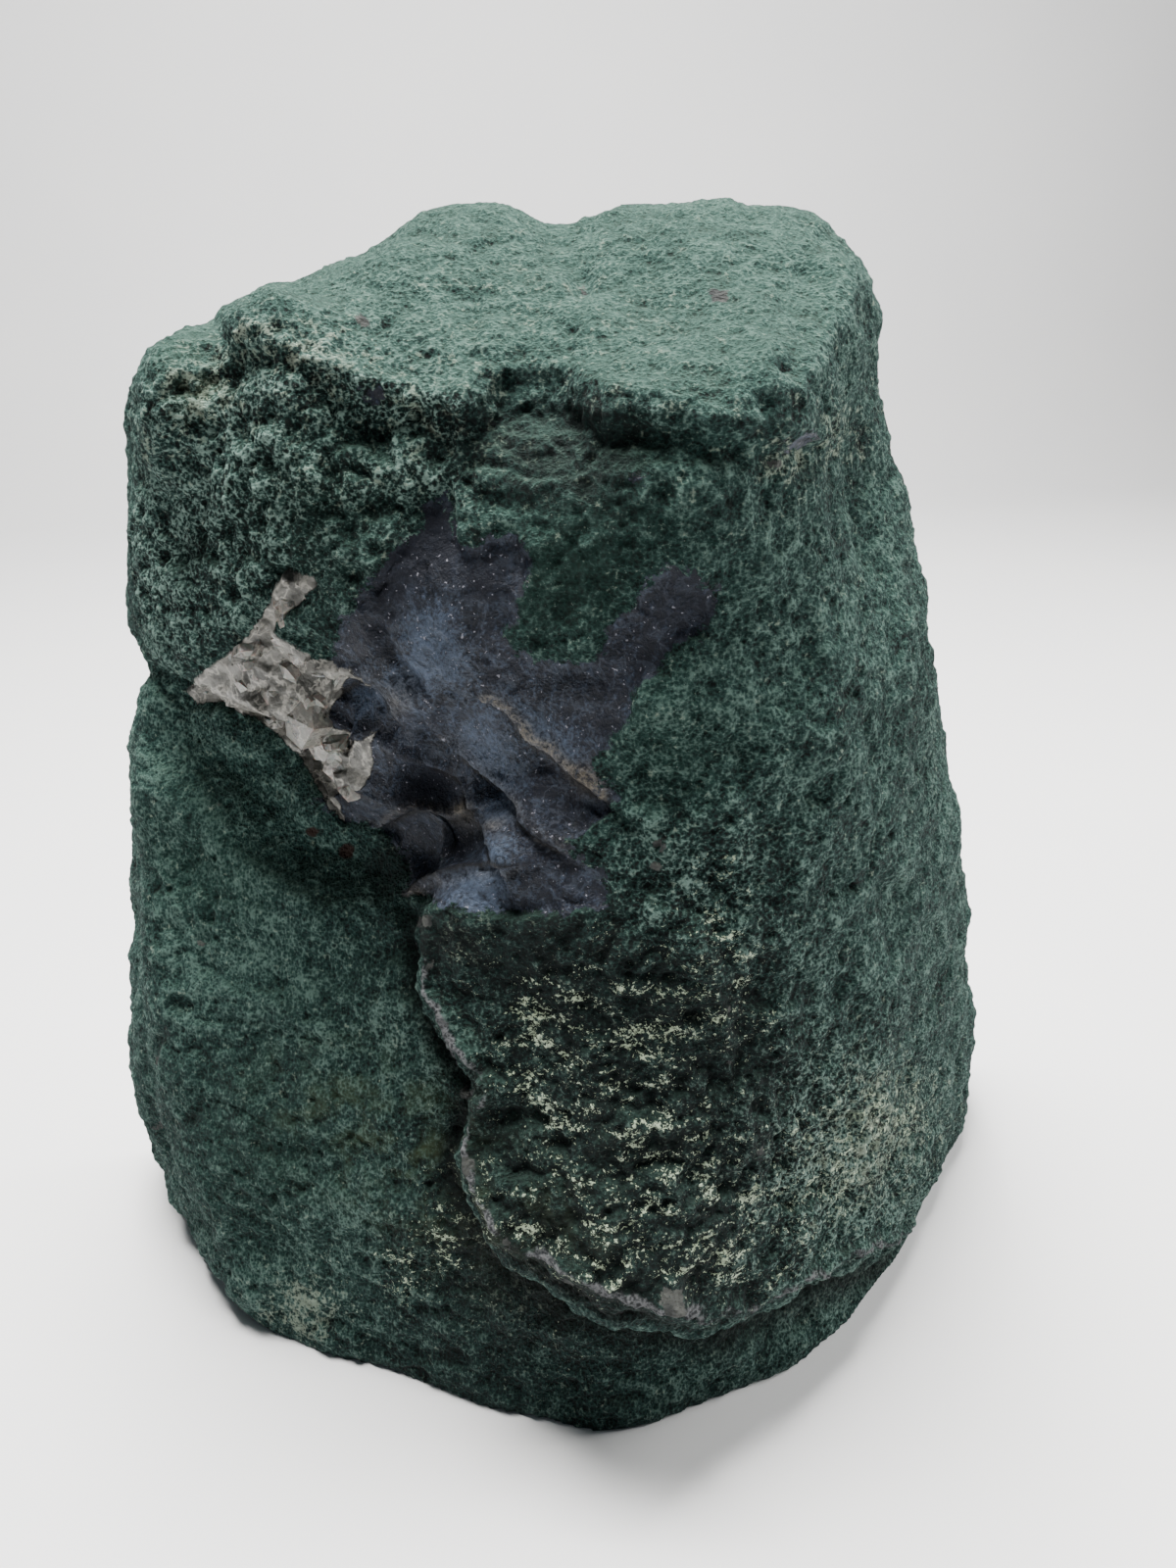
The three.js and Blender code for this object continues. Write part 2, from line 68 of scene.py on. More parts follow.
# %% The view that the rind was measured in
VIEW_HEIGHT = 294.0
YAW = math.radians(9.3)
PITCH = math.radians(25.0)
FOCAL_PIXELS = 1202.0
CENTRE_PIXEL = (600.0, 800.0)
EYE = VIEW_HEIGHT * np.array([-0.1786, -0.896, 1.0])
RIGHT = np.array([math.cos(YAW), -math.sin(YAW), 0.0])
AHEAD = np.array([math.sin(YAW), math.cos(YAW), 0.0])
LOOK = AHEAD * math.cos(PITCH) - np.array([0.0, 0.0, math.sin(PITCH)])
UP = AHEAD * math.sin(PITCH) + np.array([0.0, 0.0, math.cos(PITCH)])


def seen(points):
    """Pixels where points show in the view, and the size in millimetres of a pixel there."""
    offset = points - EYE
    depth = np.maximum(offset @ LOOK, 1.0)
    u = CENTRE_PIXEL[0] + FOCAL_PIXELS * (offset @ RIGHT) / depth
    v = CENTRE_PIXEL[1] - FOCAL_PIXELS * (offset @ UP) / depth
    return u, v, depth / FOCAL_PIXELS


def ray_through(u, v):
    """Direction of the ray through a pixel, one millimetre deep."""
    return LOOK + RIGHT * (u - CENTRE_PIXEL[0]) / FOCAL_PIXELS + UP * (CENTRE_PIXEL[1] - v) / FOCAL_PIXELS


def nearest_on_path(u, v, path, closed):
    """Distance in pixels to a path, and the side of it: above zero on the right as it is drawn."""
    path = np.array(path, float)
    starts, ends = (path, np.roll(path, -1, axis=0)) if closed else (path[:-1], path[1:])
    nearest = np.full(np.shape(u), 1e12)
    side = np.zeros(np.shape(u))
    for (u0, v0), (u1, v1) in zip(starts, ends):
        du, dv = u1 - u0, v1 - v0
        share = np.clip(((u - u0) * du + (v - v0) * dv) / (du * du + dv * dv), 0, 1)
        square = (u - u0 - share * du) ** 2 + (v - v0 - share * dv) ** 2
        closer = square < nearest
        nearest = np.where(closer, square, nearest)
        side = np.where(closer, np.sign(du * (v - v0) - dv * (u - u0)), side)
    return np.sqrt(nearest), side


def outline_distance(u, v, outline):
    """Distance in pixels to an outline, less than zero inside it."""
    distance, _ = nearest_on_path(u, v, outline, closed=True)
    inside = np.zeros(np.shape(u), bool)
    for (u0, v0), (u1, v1) in zip(outline, outline[1:] + outline[:1]):
        if v0 != v1:
            inside ^= ((v0 > v) != (v1 > v)) & (u < u0 + (v - v0) * (u1 - u0) / (v1 - v0))
    return np.where(inside, -distance, distance)


print("the view looks along", LOOK.round(3), "from", EYE.round(1), "mm")

# %% [markdown]
# The rock is a natural lump, yet from a step away it is a few broad faces. Each face is a plane that looks along
# one azimuth and stands closer or farther from the axis at different heights. The rock could be sculpted or cut
# from a block; a signed distance field is used because rounded corners, melted lumps and a broken layer are each
# one line of arithmetic in it, and any fineness of mesh can be drawn from it.

# %% Broad faces of the rock
CUT_FACE = 80.0
WALL = 24.0
HEIGHTS = [0, 60, 132, 190, 245, 300]
LAYER = {
    "front": (-11.3, [60, 67, 51, 42, 36, 26]),
    "front left": (-30.9, [66, 72, 50, 41, 38, 30]),
    "left": (-59.3, [97, 101, 95, 86, 75, 52]),
    "left wall": (-90, [142, 152, 139, 132, 126, 112]),
    "front right": (18.7, [63, 62, 55, 47, 38, 32]),
    "right": (48.7, [74, 71, 67, 58, 43, 30]),
    "right back": (66, [118, 110, 98, 86, 64, 44]),
    "right wall": (90, [146, 136, 116, 102, 84, 74]),
}
CORE = {
    "lower left": (-29.3, [56, 53, 31, 16, 12, 12]),
    "under the front": (-6, [55, 49.5, 34, 20, 18, 18]),
    "under the right": (25, [55, 51, 46, 38, 30, 20]),
}
TOP_POINT = np.array([-14.6, -31.3, 261.4])
TOP_AZIMUTH = -9.3
TOP_SLOPE = 22.4
# Millimetres over which corners are rounded: of the layer, of the core, at the top and at the broken edge.
LAYER_ROUNDING, CORE_ROUNDING, TOP_ROUNDING, EDGE_ROUNDING = 14, 16, 4, 2.5


def smooth_max(a, b, width):
    """The larger value, with the corner between the two rounded over a width."""
    near = np.maximum(width - np.abs(a - b), 0) / width
    return np.maximum(a, b) + near * near * width * 0.25


def direction_of(azimuth, rise):
    """Unit vector along an azimuth from -Y towards +X, at a rise above the horizon."""
    turn, rise = math.radians(azimuth), math.radians(rise)
    return np.array([math.sin(turn) * math.cos(rise), -math.cos(turn) * math.cos(rise), math.sin(rise)])


def beyond_faces(points, faces, rounding):
    """How far points are outside a set of upright faces."""
    total = None
    for azimuth, offsets in faces.values():
        distance = points @ direction_of(azimuth, 0) - np.interp(points[:, 2], HEIGHTS, offsets)
        total = distance if total is None else smooth_max(total, distance, rounding)
    return total


print("faces of the layer and of the core:", len(LAYER), len(CORE))

# %% [markdown]
# Next come the outlines: the rock's own silhouette, the edge where the outer layer has broken away at the lower
# left and along the foot, and the borders of the bare quartz and agate. A curve object could hold them, but plain
# lists of pixels can be measured against by arithmetic, and that is all that they are for.

# %% Outlines
OUTLINE = [
    (230, 322), (275, 299), (302, 297), (340, 280), (380, 262), (420, 238), (450, 222), (478, 212), (505, 211),
    (530, 222), (560, 236), (600, 228), (632, 212), (740, 212), (790, 221), (832, 233), (866, 262), (890, 288),
    (897, 330), (893, 385), (904, 420), (916, 478), (927, 500), (931, 555), (945, 650), (972, 790), (985, 870),
    (999, 950), (1009, 1030), (1009, 1120), (1000, 1152), (964, 1198), (934, 1240), (905, 1284), (873, 1328),
    (860, 1370), (832, 1398), (790, 1408), (710, 1440), (650, 1474), (610, 1484), (560, 1480), (520, 1466),
    (440, 1438), (380, 1414), (290, 1374), (258, 1345), (224, 1310), (206, 1288), (190, 1258), (182, 1240),
    (152, 1234), (143, 1200), (134, 1130), (134, 1000), (140, 945), (130, 905), (135, 860), (137, 760), (148, 708),
    (164, 686), (145, 655), (128, 612), (121, 580), (129, 530), (134, 480), (139, 420), (145, 392), (160, 365),
    (190, 345), (226, 338),
]
CORE_EDGE = [
    (60, 706), (165, 694), (205, 712), (280, 745), (318, 790), (345, 835), (415, 885), (428, 930), (432, 1010),
    (455, 1060), (492, 1112), (466, 1180), (485, 1225), (520, 1278), (560, 1300), (610, 1326), (660, 1338),
    (710, 1350), (760, 1342), (820, 1312), (880, 1290), (960, 1240), (1060, 1300), (1000, 1560), (100, 1560),
]
QUARTZ_EDGE = [
    (290, 585), (323, 589), (323, 600), (304, 617), (287, 627), (279, 644), (304, 656), (315, 669), (340, 677),
    (361, 679), (380, 698), (385, 742), (377, 763), (380, 780), (373, 801), (361, 809), (348, 797), (354, 841),
    (342, 828), (323, 801), (310, 778), (292, 757), (277, 742), (250, 725), (233, 715), (208, 718), (191, 703),
    (201, 690), (233, 669), (252, 652), (266, 633), (275, 608),
]
AGATE_EDGE = [
    (459, 487), (467, 504), (469, 554), (482, 562), (521, 543), (541, 572), (524, 609), (528, 632), (515, 650),
    (547, 671), (606, 674), (619, 645), (664, 587), (684, 570), (723, 606), (726, 622), (720, 645), (684, 655),
    (674, 678), (645, 707), (645, 736), (612, 787), (635, 811), (593, 844), (567, 860), (609, 883), (622, 905),
    (619, 925), (583, 928), (528, 935), (479, 931), (440, 918), (414, 915), (420, 902), (414, 863), (381, 844),
    (352, 841), (300, 760), (340, 700), (342, 661), (362, 609), (394, 580), (404, 561), (430, 531), (427, 512),
]
print("corners of the outlines:", len(OUTLINE), len(CORE_EDGE), len(QUARTZ_EDGE), len(AGATE_EDGE))

# %% [markdown]
# Inside the outlines some patches lie deeper, where stone has broken out, and lumps and hollows swell the faces.
# Sculpting would give them too, but numbers can be set one by one: a patch has its depth and the width of its
# slope, and a lump is a soft bell with its pixel, its radius and its height.

# %% Patches and lumps
PATCHES = {
    "broken agate": (2, 2, AGATE_EDGE),
    "under the lip": (7.5, 11, [
        (425, 428), (474, 436), (505, 404), (560, 396), (620, 424), (700, 436), (650, 452), (540, 462), (455, 456),
    ]),
    "under the quartz": (7, 16, [
        (165, 694), (205, 712), (280, 745), (318, 790), (345, 835), (415, 885), (410, 915), (320, 890), (250, 840),
        (180, 770),
    ]),
    "left of the lip": (5, 6, [(318, 384), (400, 408), (424, 432), (400, 470), (330, 440)]),
    "quartz break": (4, 10, QUARTZ_EDGE),
}
LUMPS = {
    "right dome of the top": (720, 262, 34, 7),
    "left dome of the top": (470, 262, 30, 5),
    "valley between the domes": (570, 262, 16, -4),
    "corner of the top": (262, 345, 16, 5),
    "lip": (660, 425, 24, 5),
    "hollow under the lip": (545, 480, 26, -6),
    "right shoulder": (800, 420, 18, 4),
    "pit below the shoulder": (815, 452, 7, -4),
    "groove on the right": (880, 500, 20, -5),
    "bulge on the left": (300, 540, 34, 4),
    "dip on the left": (400, 480, 20, -4),
    "hollow of the left flank": (195, 560, 18, -3),
    "pocket on the right": (925, 940, 14, -4),
    "pillow in the break": (455, 665, 17, 4),
    "scoop in the break": (432, 812, 17, -10),
    "floor of the scoop": (445, 850, 8, -5),
    "rib beside the scoop": (515, 835, 13, 4),
    "wedge under the scoop": (470, 915, 12, 4),
    "deep corner of the recess": (408, 880, 13, -9),
    "toe of the front": (640, 1290, 30, 5),
    "toe of the front right": (740, 1300, 26, 3),
}
print("patches and lumps:", len(PATCHES), len(LUMPS))

# %% [markdown]
# All of it is added up in one field: how far a place is outside the rock, in millimetres. The left shoulder is a
# ball of its own melted to the rest, and slow waves keep the broad faces from being as flat as cut stone.

# %% The rock as a field
SHOULDER_PIXEL = (192, 400)
SHOULDER_Y = 44.0
SHOULDER_SIZE = np.array([21.0, 30.0, 22.0])
SHOULDER_ROUNDING = 6
OUTLINE_ROUNDING = 9
OUTLINE_ROOM = 1.5  # millimetres that the rounding takes back from the outline
SWELLS = [(70, 1.1, 1), (26, 0.7, 2)]  # wavelength, height and seed of the slow swells
GOLDEN_ANGLE = 2.4


def chance(index, seed):
    """A steady number from 0 to 1 for an index and a seed."""
    value = math.sin(index * 12.9898 + seed * 78.233) * 43758.5453
    return value - math.floor(value)


def swell(points, wavelength, seed, waves=7):
    """Sum of sine waves in spread directions, about -1 to 1."""
    total = np.zeros(len(points))
    for index in range(waves):
        z = -1 + (2 * index + 1) / waves
        turn = GOLDEN_ANGLE * index + seed
        across = math.sqrt(1 - z * z)
        along = points @ np.array([across * math.cos(turn), across * math.sin(turn), z])
        length = wavelength * (0.8 + 0.45 * chance(index, seed))
        total += np.sin(2 * math.pi * (along / length + chance(index, seed + 10)))
    return total / math.sqrt(waves)


def facet_field(points, u, v, scale):
    """The rock before its lumps: layer faces, sloping top, and the recess where the layer is gone."""
    top = (points - TOP_POINT) @ direction_of(TOP_AZIMUTH, 90 - TOP_SLOPE)
    layer = smooth_max(beyond_faces(points, LAYER, LAYER_ROUNDING), top, TOP_ROUNDING)
    in_recess = -outline_distance(u, v, CORE_EDGE) * scale
    recess = np.minimum(beyond_faces(points, CORE, CORE_ROUNDING), in_recess)
    return smooth_max(layer, recess, EDGE_ROUNDING)


def hit(field, u, v):
    """First point where the ray through a pixel meets a field."""
    depths = np.arange(100, 700, 0.5)
    points = EYE + depths[:, None] * ray_through(u, v)
    return points[np.argmax(field(points) < 0)]


lumps_placed = [
    (hit(lambda points: facet_field(points, *seen(points)), u, v), radius, height)
    for u, v, radius, height in LUMPS.values()
]
shoulder_ray = ray_through(*SHOULDER_PIXEL)
shoulder_centre = EYE + shoulder_ray * (SHOULDER_Y - EYE[1]) / shoulder_ray[1]


def rock_field(points):
    """Distance to the outside of the rock, less than zero inside it."""
    u, v, scale = seen(points)
    value = facet_field(points, u, v, scale)
    for centre, radius, height in lumps_placed:
        value -= height * np.exp(-((points - centre) ** 2).sum(axis=1) / radius ** 2)
    for depth, slope, outline in PATCHES.values():
        value += depth * np.clip(0.5 - outline_distance(u, v, outline) * scale / slope, 0, 1)
    shoulder = np.linalg.norm((points - shoulder_centre) / SHOULDER_SIZE, axis=1) - 1
    value = -smooth_max(-value, -shoulder * SHOULDER_SIZE[0], SHOULDER_ROUNDING)
    value = smooth_max(value, outline_distance(u, v, OUTLINE) * scale - OUTLINE_ROOM, OUTLINE_ROUNDING)
    for wavelength, height, seed in SWELLS:
        value -= height * swell(points, wavelength, seed)
    return value


print("lumps placed:", len(lumps_placed))

# %% [markdown]
# The hollow is an egg that opens on the sawn face and never comes closer than the wall's thickness to the
# outside. It is made a little wider than the crust of crystals that sits in it.

# %% The hollow and the sawn rock
HOLLOW_CENTRE = np.array([-2.0, CUT_FACE, 138.0])
HOLLOW_SIZE = np.array([90.0, 86.0, 114.0])
HOLLOW_ROUNDING = 20
WALL_WAVES = (60, 2.5, 5)  # wavelength, height and seed
CRUST_ROOM = 0.4


def hollow_field(points, outside):
    """Distance to the wall of the hollow, less than zero in the air inside."""
    egg = (np.linalg.norm((points - HOLLOW_CENTRE) / HOLLOW_SIZE, axis=1) - 1) * HOLLOW_SIZE[1]
    wavelength, height, seed = WALL_WAVES
    return smooth_max(egg, outside + WALL, HOLLOW_ROUNDING) - height * swell(points, wavelength, seed)


def sawn_field(points):
    """The whole solid: the rock, cut flat behind and underneath, less its hollow."""
    outside = rock_field(points)
    flat_cuts = np.maximum(points[:, 1] - CUT_FACE, -points[:, 2])
    return np.maximum(np.maximum(outside, flat_cuts), CRUST_ROOM - hollow_field(points, outside))


print("hollow at most", 2 * HOLLOW_SIZE[0], "mm wide,", 2 * HOLLOW_SIZE[2], "tall and", HOLLOW_SIZE[1], "deep")

# %% [markdown]
# The field has to be known on a grid of small cubes before a mesh can be drawn from it. Working it out everywhere
# would take minutes, so coarse blocks are tried first, and only those near the surface are worked out in full.

# %% Values near the surface
CELL = 1.6
BLOCK = 4
BLOCK_REACH = 1.9  # blocks that the surface may be away from a block that is worked out
CHUNK = 200000  # points worked out at a time


def near_surface_values(field, low, high):
    """Field values on a fine grid, worked out only in the coarse blocks that the surface may cross."""
    counts = [int(math.ceil((b - a) / (CELL * BLOCK))) for a, b in zip(low, high)]
    coarse_axes = [a + CELL * BLOCK * np.arange(n + 1) for a, n in zip(low, counts)]
    coarse_points = np.stack(np.meshgrid(*coarse_axes, indexing="ij"), -1).reshape(-1, 3)
    coarse = field(coarse_points).reshape([n + 1 for n in counts])
    close = np.abs(coarse) < CELL * BLOCK * BLOCK_REACH
    block_close = np.zeros(counts, bool)
    for i, j, k in np.ndindex(2, 2, 2):
        block_close |= close[i:i + counts[0], j:j + counts[1], k:k + counts[2]]
    values = np.where(coarse[:-1, :-1, :-1] < 0, -1e3, 1e3)
    wanted = block_close
    for axis in range(3):
        values = values.repeat(BLOCK, axis)
        wanted = wanted.repeat(BLOCK, axis)
    values = np.pad(values, ((0, 1),) * 3, mode="edge")
    spread = np.zeros(values.shape, bool)
    for i, j, k in np.ndindex(2, 2, 2):
        spread[i:i + wanted.shape[0], j:j + wanted.shape[1], k:k + wanted.shape[2]] |= wanted
    places = np.argwhere(spread)
    found = [field(low + CELL * places[n:n + CHUNK]) for n in range(0, len(places), CHUNK)]
    values[spread] = np.concatenate(found)
    return values


GRID_LOW = np.array([-168.0, -96.0, -6.0])
GRID_HIGH = np.array([168.0, CUT_FACE + 6.0, 316.0])
rock_values = near_surface_values(sawn_field, GRID_LOW, GRID_HIGH)
print("grid:", rock_values.shape)

# %% [markdown]
# The mesh is drawn by surface nets: each cube that the surface passes through gets one point at the middle of its
# crossings, and each crossed edge of a cube gets one quad. A voxel remesh would do the same with less say over the
# points.

# %% Surface nets
def surface_nets(values, low):
    """Points and quads of the surface where the values change sign, quads facing out."""
    inside = values < 0
    cells = [n - 1 for n in values.shape]
    corners = list(np.ndindex(2, 2, 2))
    shifted = (inside[i:i + cells[0], j:j + cells[1], k:k + cells[2]] for i, j, k in corners)
    filled = sum(part.astype(np.int8) for part in shifted)
    places = np.argwhere((filled > 0) & (filled < 8))
    index_of = np.full(cells, -1)
    index_of[tuple(places.T)] = np.arange(len(places))
    total = np.zeros((len(places), 3))
    crossings = np.zeros(len(places))
    for axis in range(3):
        for start in [corner for corner in corners if corner[axis] == 0]:
            end = list(start)
            end[axis] = 1
            a = values[tuple((places + start).T)]
            b = values[tuple((places + end).T)]
            crossed = (a < 0) != (b < 0)
            share = np.where(crossed, a / np.where(crossed, a - b, 1), 0)
            point = np.tile(np.array(start, float), (len(places), 1))
            point[:, axis] += share
            total += np.where(crossed[:, None], point, 0)
            crossings += crossed
    points = low + CELL * (places + total / crossings[:, None])
    quads = []
    for axis in range(3):
        second, third = (axis + 1) % 3, (axis + 2) % 3
        ahead = [slice(None)] * 3
        ahead[axis] = slice(1, None)
        behind = [slice(None)] * 3
        behind[axis] = slice(None, -1)
        edges = np.argwhere(inside[tuple(behind)] != inside[tuple(ahead)])
        edges = edges[(edges[:, second] > 0) & (edges[:, third] > 0)]
        around = []
        for back_second, back_third in ((0, 0), (1, 0), (1, 1), (0, 1)):
            cell = edges.copy()
            cell[:, second] -= back_second
            cell[:, third] -= back_third
            around.append(index_of[tuple(cell.T)])
        around = np.stack(around, 1)
        faces_back = ~inside[tuple(edges.T)]
        around[faces_back] = around[faces_back][:, ::-1]
        quads.append(around)
    return points, np.concatenate(quads)


net_points, net_quads = surface_nets(rock_values, GRID_LOW)
print("rock points and quads:", len(net_points), len(net_quads))

# %% [markdown]
# The rock has four kinds of skin: the rind outside, the sawn face, the flat base and the wall of the hollow. They
# are told apart by where their points lie. The sawn face and the hollow stay as drawn. The rind carries relief of
# a few millimetres, so its quads, and those of the base with it, are cut into four first: 0.8 mm a cell.

# %% Kinds of skin
FLAT_TOLERANCE = 0.3


def only_used(points, quads):
    """The points that some quads use, and the quads renumbered for them."""
    used, renumbered = np.unique(quads, return_inverse=True)
    return points[used], renumbered.reshape(-1, 4)


def split_in_four(points, quads):
    """Cuts each quad into four through the middles of its sides."""
    sides = np.sort(np.stack([quads, np.roll(quads, -1, axis=1)], -1).reshape(-1, 2), axis=1)
    keys, side_index = np.unique(sides[:, 0] * len(points) + sides[:, 1], return_inverse=True)
    side_middles = (points[keys // len(points)] + points[keys % len(points)]) / 2
    side_index = side_index.reshape(-1, 4) + len(points)
    centres = points[quads].mean(axis=1)
    centre_index = len(points) + len(side_middles) + np.arange(len(quads))
    quarters = [
        np.stack([quads[:, n], side_index[:, n], centre_index, side_index[:, n - 1]], 1) for n in range(4)
    ]
    return np.concatenate([points, side_middles, centres]), np.concatenate(quarters)


def corner_normals(points, quads):
    """Unit normals of the points, each the sum of its quads' normals."""
    a, b, c, d = (points[quads[:, n]] for n in range(4))
    across = np.cross(c - a, d - b)
    total = np.zeros_like(points)
    for axis in range(3):
        for n in range(4):
            total[:, axis] += np.bincount(quads[:, n], across[:, axis], len(points))
    return total / np.maximum(np.linalg.norm(total, axis=1, keepdims=True), 1e-9)


on_cut = net_points[:, 1] > CUT_FACE - FLAT_TOLERANCE
on_wall = (rock_field(net_points) < -CELL) & ~on_cut & (net_points[:, 2] > FLAT_TOLERANCE)
behind = (on_cut | on_wall)[net_quads].all(axis=1) | on_wall[net_quads].any(axis=1)
sawn_points, sawn_quads = only_used(net_points, net_quads[behind])
points, quads = split_in_four(*only_used(net_points, net_quads[~behind]))
normals = corner_normals(points, quads)
print("quads behind and outside:", len(sawn_quads), len(quads))

# %% [markdown]
# Fine relief is laid on as a height along each point's normal. Its single marks are drawn as a sculptor would
# carve them: ribs and grooves along paths, ledges that drop on one side of a path, and round dents and knobs.
# Most lie on the broken agate, which has smooth shell-shaped scoops, ribs and sharp sheets. The rind has a seam,
# a ridge, the rolled rim of its top, cracks and a few deep pits.

# %% Ribs, ledges and dents
RIBS = {
    "rib over the pocket": ([(346, 680), (376, 686), (398, 702), (420, 718), (440, 725)], 2.0, 1.6),
    "pale rib": ([(444, 744), (462, 775), (480, 810), (492, 840), (510, 864), (522, 900)], 2.0, 1.8),
    "long groove": ([(448, 762), (466, 784), (484, 802), (502, 817), (514, 830)], 1.8, -1.0),
    "rim of the scoop": ([(396, 762), (441, 792), (462, 812), (474, 834)], 1.8, 1.5),
    "crease beside the pillow": ([(384, 640), (396, 668), (410, 692), (418, 700)], 1.6, -1.8),
    "crest of the tongue": ([(417, 918), (440, 896), (468, 882), (492, 905)], 1.8, 1.5),
    "seam down the front": ([(660, 835), (700, 940), (735, 1030), (748, 1100), (765, 1170)], 3.0, 1.6),
    "ridge on the right": ([(770, 320), (830, 440), (842, 600), (848, 760)], 6.0, 2.4),
    "left rim of the top": ([(235, 335), (330, 372), (400, 402), (432, 424), (472, 433)], 3.0, 0.9),
    "right rim of the top": ([(610, 424), (660, 426), (720, 431), (820, 442)], 3.0, 1.8),
    "groove under the rim": ([(640, 446), (700, 452), (770, 457), (830, 464)], 3.0, -1.2),
    "crease of the left flank": ([(230, 345), (238, 400), (212, 480), (188, 560)], 4.0, -1.2),
    "upper crack": ([(214, 922), (206, 955), (212, 992)], 1.4, -1.6),
    "lower crack": ([(160, 1060), (151, 1120), (168, 1192)], 1.6, -1.8),
    "notch at the foot": ([(150, 1236), (190, 1250), (215, 1300)], 3.0, -2.5),
}
LEDGES = {
    "upper sheet": (
        [(497, 722), (512, 730), (522, 742), (533, 758), (548, 768), (560, 772), (572, 786), (590, 800),
         (606, 812)],
        -3.0, 14.0, 1.0),
    "lower sheet": (
        [(452, 760), (468, 778), (484, 794), (502, 808), (518, 822), (524, 838), (540, 852), (566, 868)],
        -2.6, 6.0, 0.2),
    "edge of the scoop": (
        [(436, 790), (456, 800), (466, 812), (476, 834), (490, 856), (503, 878)], -2.6, 10.0, 0.0),
    "foot of the scoop": ([(396, 842), (420, 834), (447, 838), (472, 828)], -2.0, 7.0, 0.3),
    "brow over the pocket": ([(344, 708), (354, 700), (370, 698), (384, 706), (396, 724)], -2.6, 6.0, 0.1),
    "upper edge of the wedge": ([(520, 884), (490, 884), (468, 884), (440, 898), (417, 914)], 1.8, 9.0, 0.2),
}
DENTS = {
    "blue pocket": (370, 722, 5.0, -1.2),
    "deep end of the scoop": (438, 808, 7.0, -4.5),
    "facet under the scoop": (450, 868, 6.0, -3.6),
    "chip in the scoop": (462, 835, 2.2, 1.4),
    "pit in the quartz": (278, 702, 2.2, -2.6),
    "hole in the top": (595, 286, 3.0, -3.0),
    "pit by the ridge": (905, 905, 3.5, -3.0),
    "pit low on the right": (948, 950, 4.0, -3.0),
    "pit beside the left bulge": (355, 585, 3.0, -2.2),
    "pit at the right rim": (800, 380, 3.0, -2.2),
    "swell under the quartz": (225, 748, 12.0, 3.5),
    "swell beside the scoop": (312, 832, 11.0, 3.5),
    "knob on the left shoulder": (283, 304, 3.5, 2.0),
    "knob on the left": (134, 534, 3.0, 1.6),
    "knob of the left dome": (460, 218, 4.0, 1.6),
    "hollow of the right top": (825, 268, 5.0, -2.5),
    "upper pit on the right": (760, 770, 3.0, -2.2),
    "middle pit on the right": (832, 812, 3.0, -2.0),
    "pit in the lower front": (712, 1206, 3.6, -3.0),
    "knob at the foot": (684, 1325, 3.6, 2.8),
    "knob on the edge": (480, 1118, 4.0, 2.5),
    "left knob of the foot": (208, 1280, 8.0, 3.0),
}
print("ribs, ledges and dents:", len(RIBS), len(LEDGES), len(DENTS))

# %% [markdown]
# The ground between the marks is noise, worked out here and not in a shader, because it shapes the mesh. Lumps come
# from a lattice of random numbers with smooth steps between them. Foam, pits and facets come from scattered seeds:
# the distance to the nearest seed gives round pits, and a slope of each seed's own gives facets that meet in
# edges. Every pattern has a seed of its own, so it is the same in every run.

# %% Noise and soft places
LATTICE = 32
SEED_CUBES = 16
SEEN = 0.1  # share of a point's view below which it takes no marks
FAR_OUT = -30.0  # what such a point holds for its distance inside an outline
VIEW_END, VIEW_FADE = 60, 10  # the y in millimetres where the marks end, and how far before it they fade


def lattice_noise(points, size, seed):
    """Smooth noise from -1 to 1 whose bumps are about a size apart."""
    lattice = np.random.RandomState(seed).uniform(-1, 1, (LATTICE, LATTICE, LATTICE))
    scaled = points / size
    base = np.floor(scaled).astype(int)
    share = scaled - base
    share = share * share * (3 - 2 * share)
    total = np.zeros(len(points))
    for corner in np.ndindex(2, 2, 2):
        weight = np.prod(np.where(np.array(corner) == 1, share, 1 - share), axis=1)
        i, j, k = ((base + corner) % LATTICE).T
        total += weight * lattice[i, j, k]
    return total


def lumps_of(points, *parts):
    """Sum of lattice noises, each with its height, its size in millimetres and its seed."""
    return sum(height * lattice_noise(points, size, seed) for height, size, seed in parts)


def nearest_seed(points, size, seed):
    """Distance, in sizes, to the nearest of scattered seeds, one in each cube of a size, and a slope of its own."""
    random = np.random.RandomState(seed)
    places = random.uniform(0, 1, (SEED_CUBES, SEED_CUBES, SEED_CUBES, 3))
    turns = random.uniform(-1, 1, (SEED_CUBES, SEED_CUBES, SEED_CUBES, 3))
    scaled = points / size
    base = np.floor(scaled).astype(int)
    nearest = np.full(len(points), 9.0)
    slope = np.zeros(len(points))
    for step in np.ndindex(3, 3, 3):
        cube = base + np.array(step) - 1
        i, j, k = (cube % SEED_CUBES).T
        away = scaled - cube - places[i, j, k]
        distance = np.sqrt(np.einsum("ij,ij->i", away, away))
        closer = distance < nearest
        nearest[closer] = distance[closer]
        slope[closer] = np.einsum("ij,ij->i", away[closer] * size, turns[i, j, k][closer])
    return nearest, slope


def pits_of(points, size, seed, radius):
    """Round pits at scattered seeds, 1 in their middle and 0 past a radius in sizes."""
    return np.clip(1 - nearest_seed(points, size, seed)[0] / radius, 0, 1)


def bells(places):
    """Soft round places in the view: centre, radius in pixels and strength, added up to 1 at most."""
    total = sum(strength * np.exp(-((u - cu) ** 2 + (v - cv) ** 2) / radius ** 2)
                for cu, cv, radius, strength in places)
    return np.clip(total, 0, 1) * in_view


def inside_mm(outline):
    """Distance in millimetres inside an outline, less than zero outside it."""
    return np.where(in_view > SEEN, -outline_distance(u, v, outline) * scale, FAR_OUT)


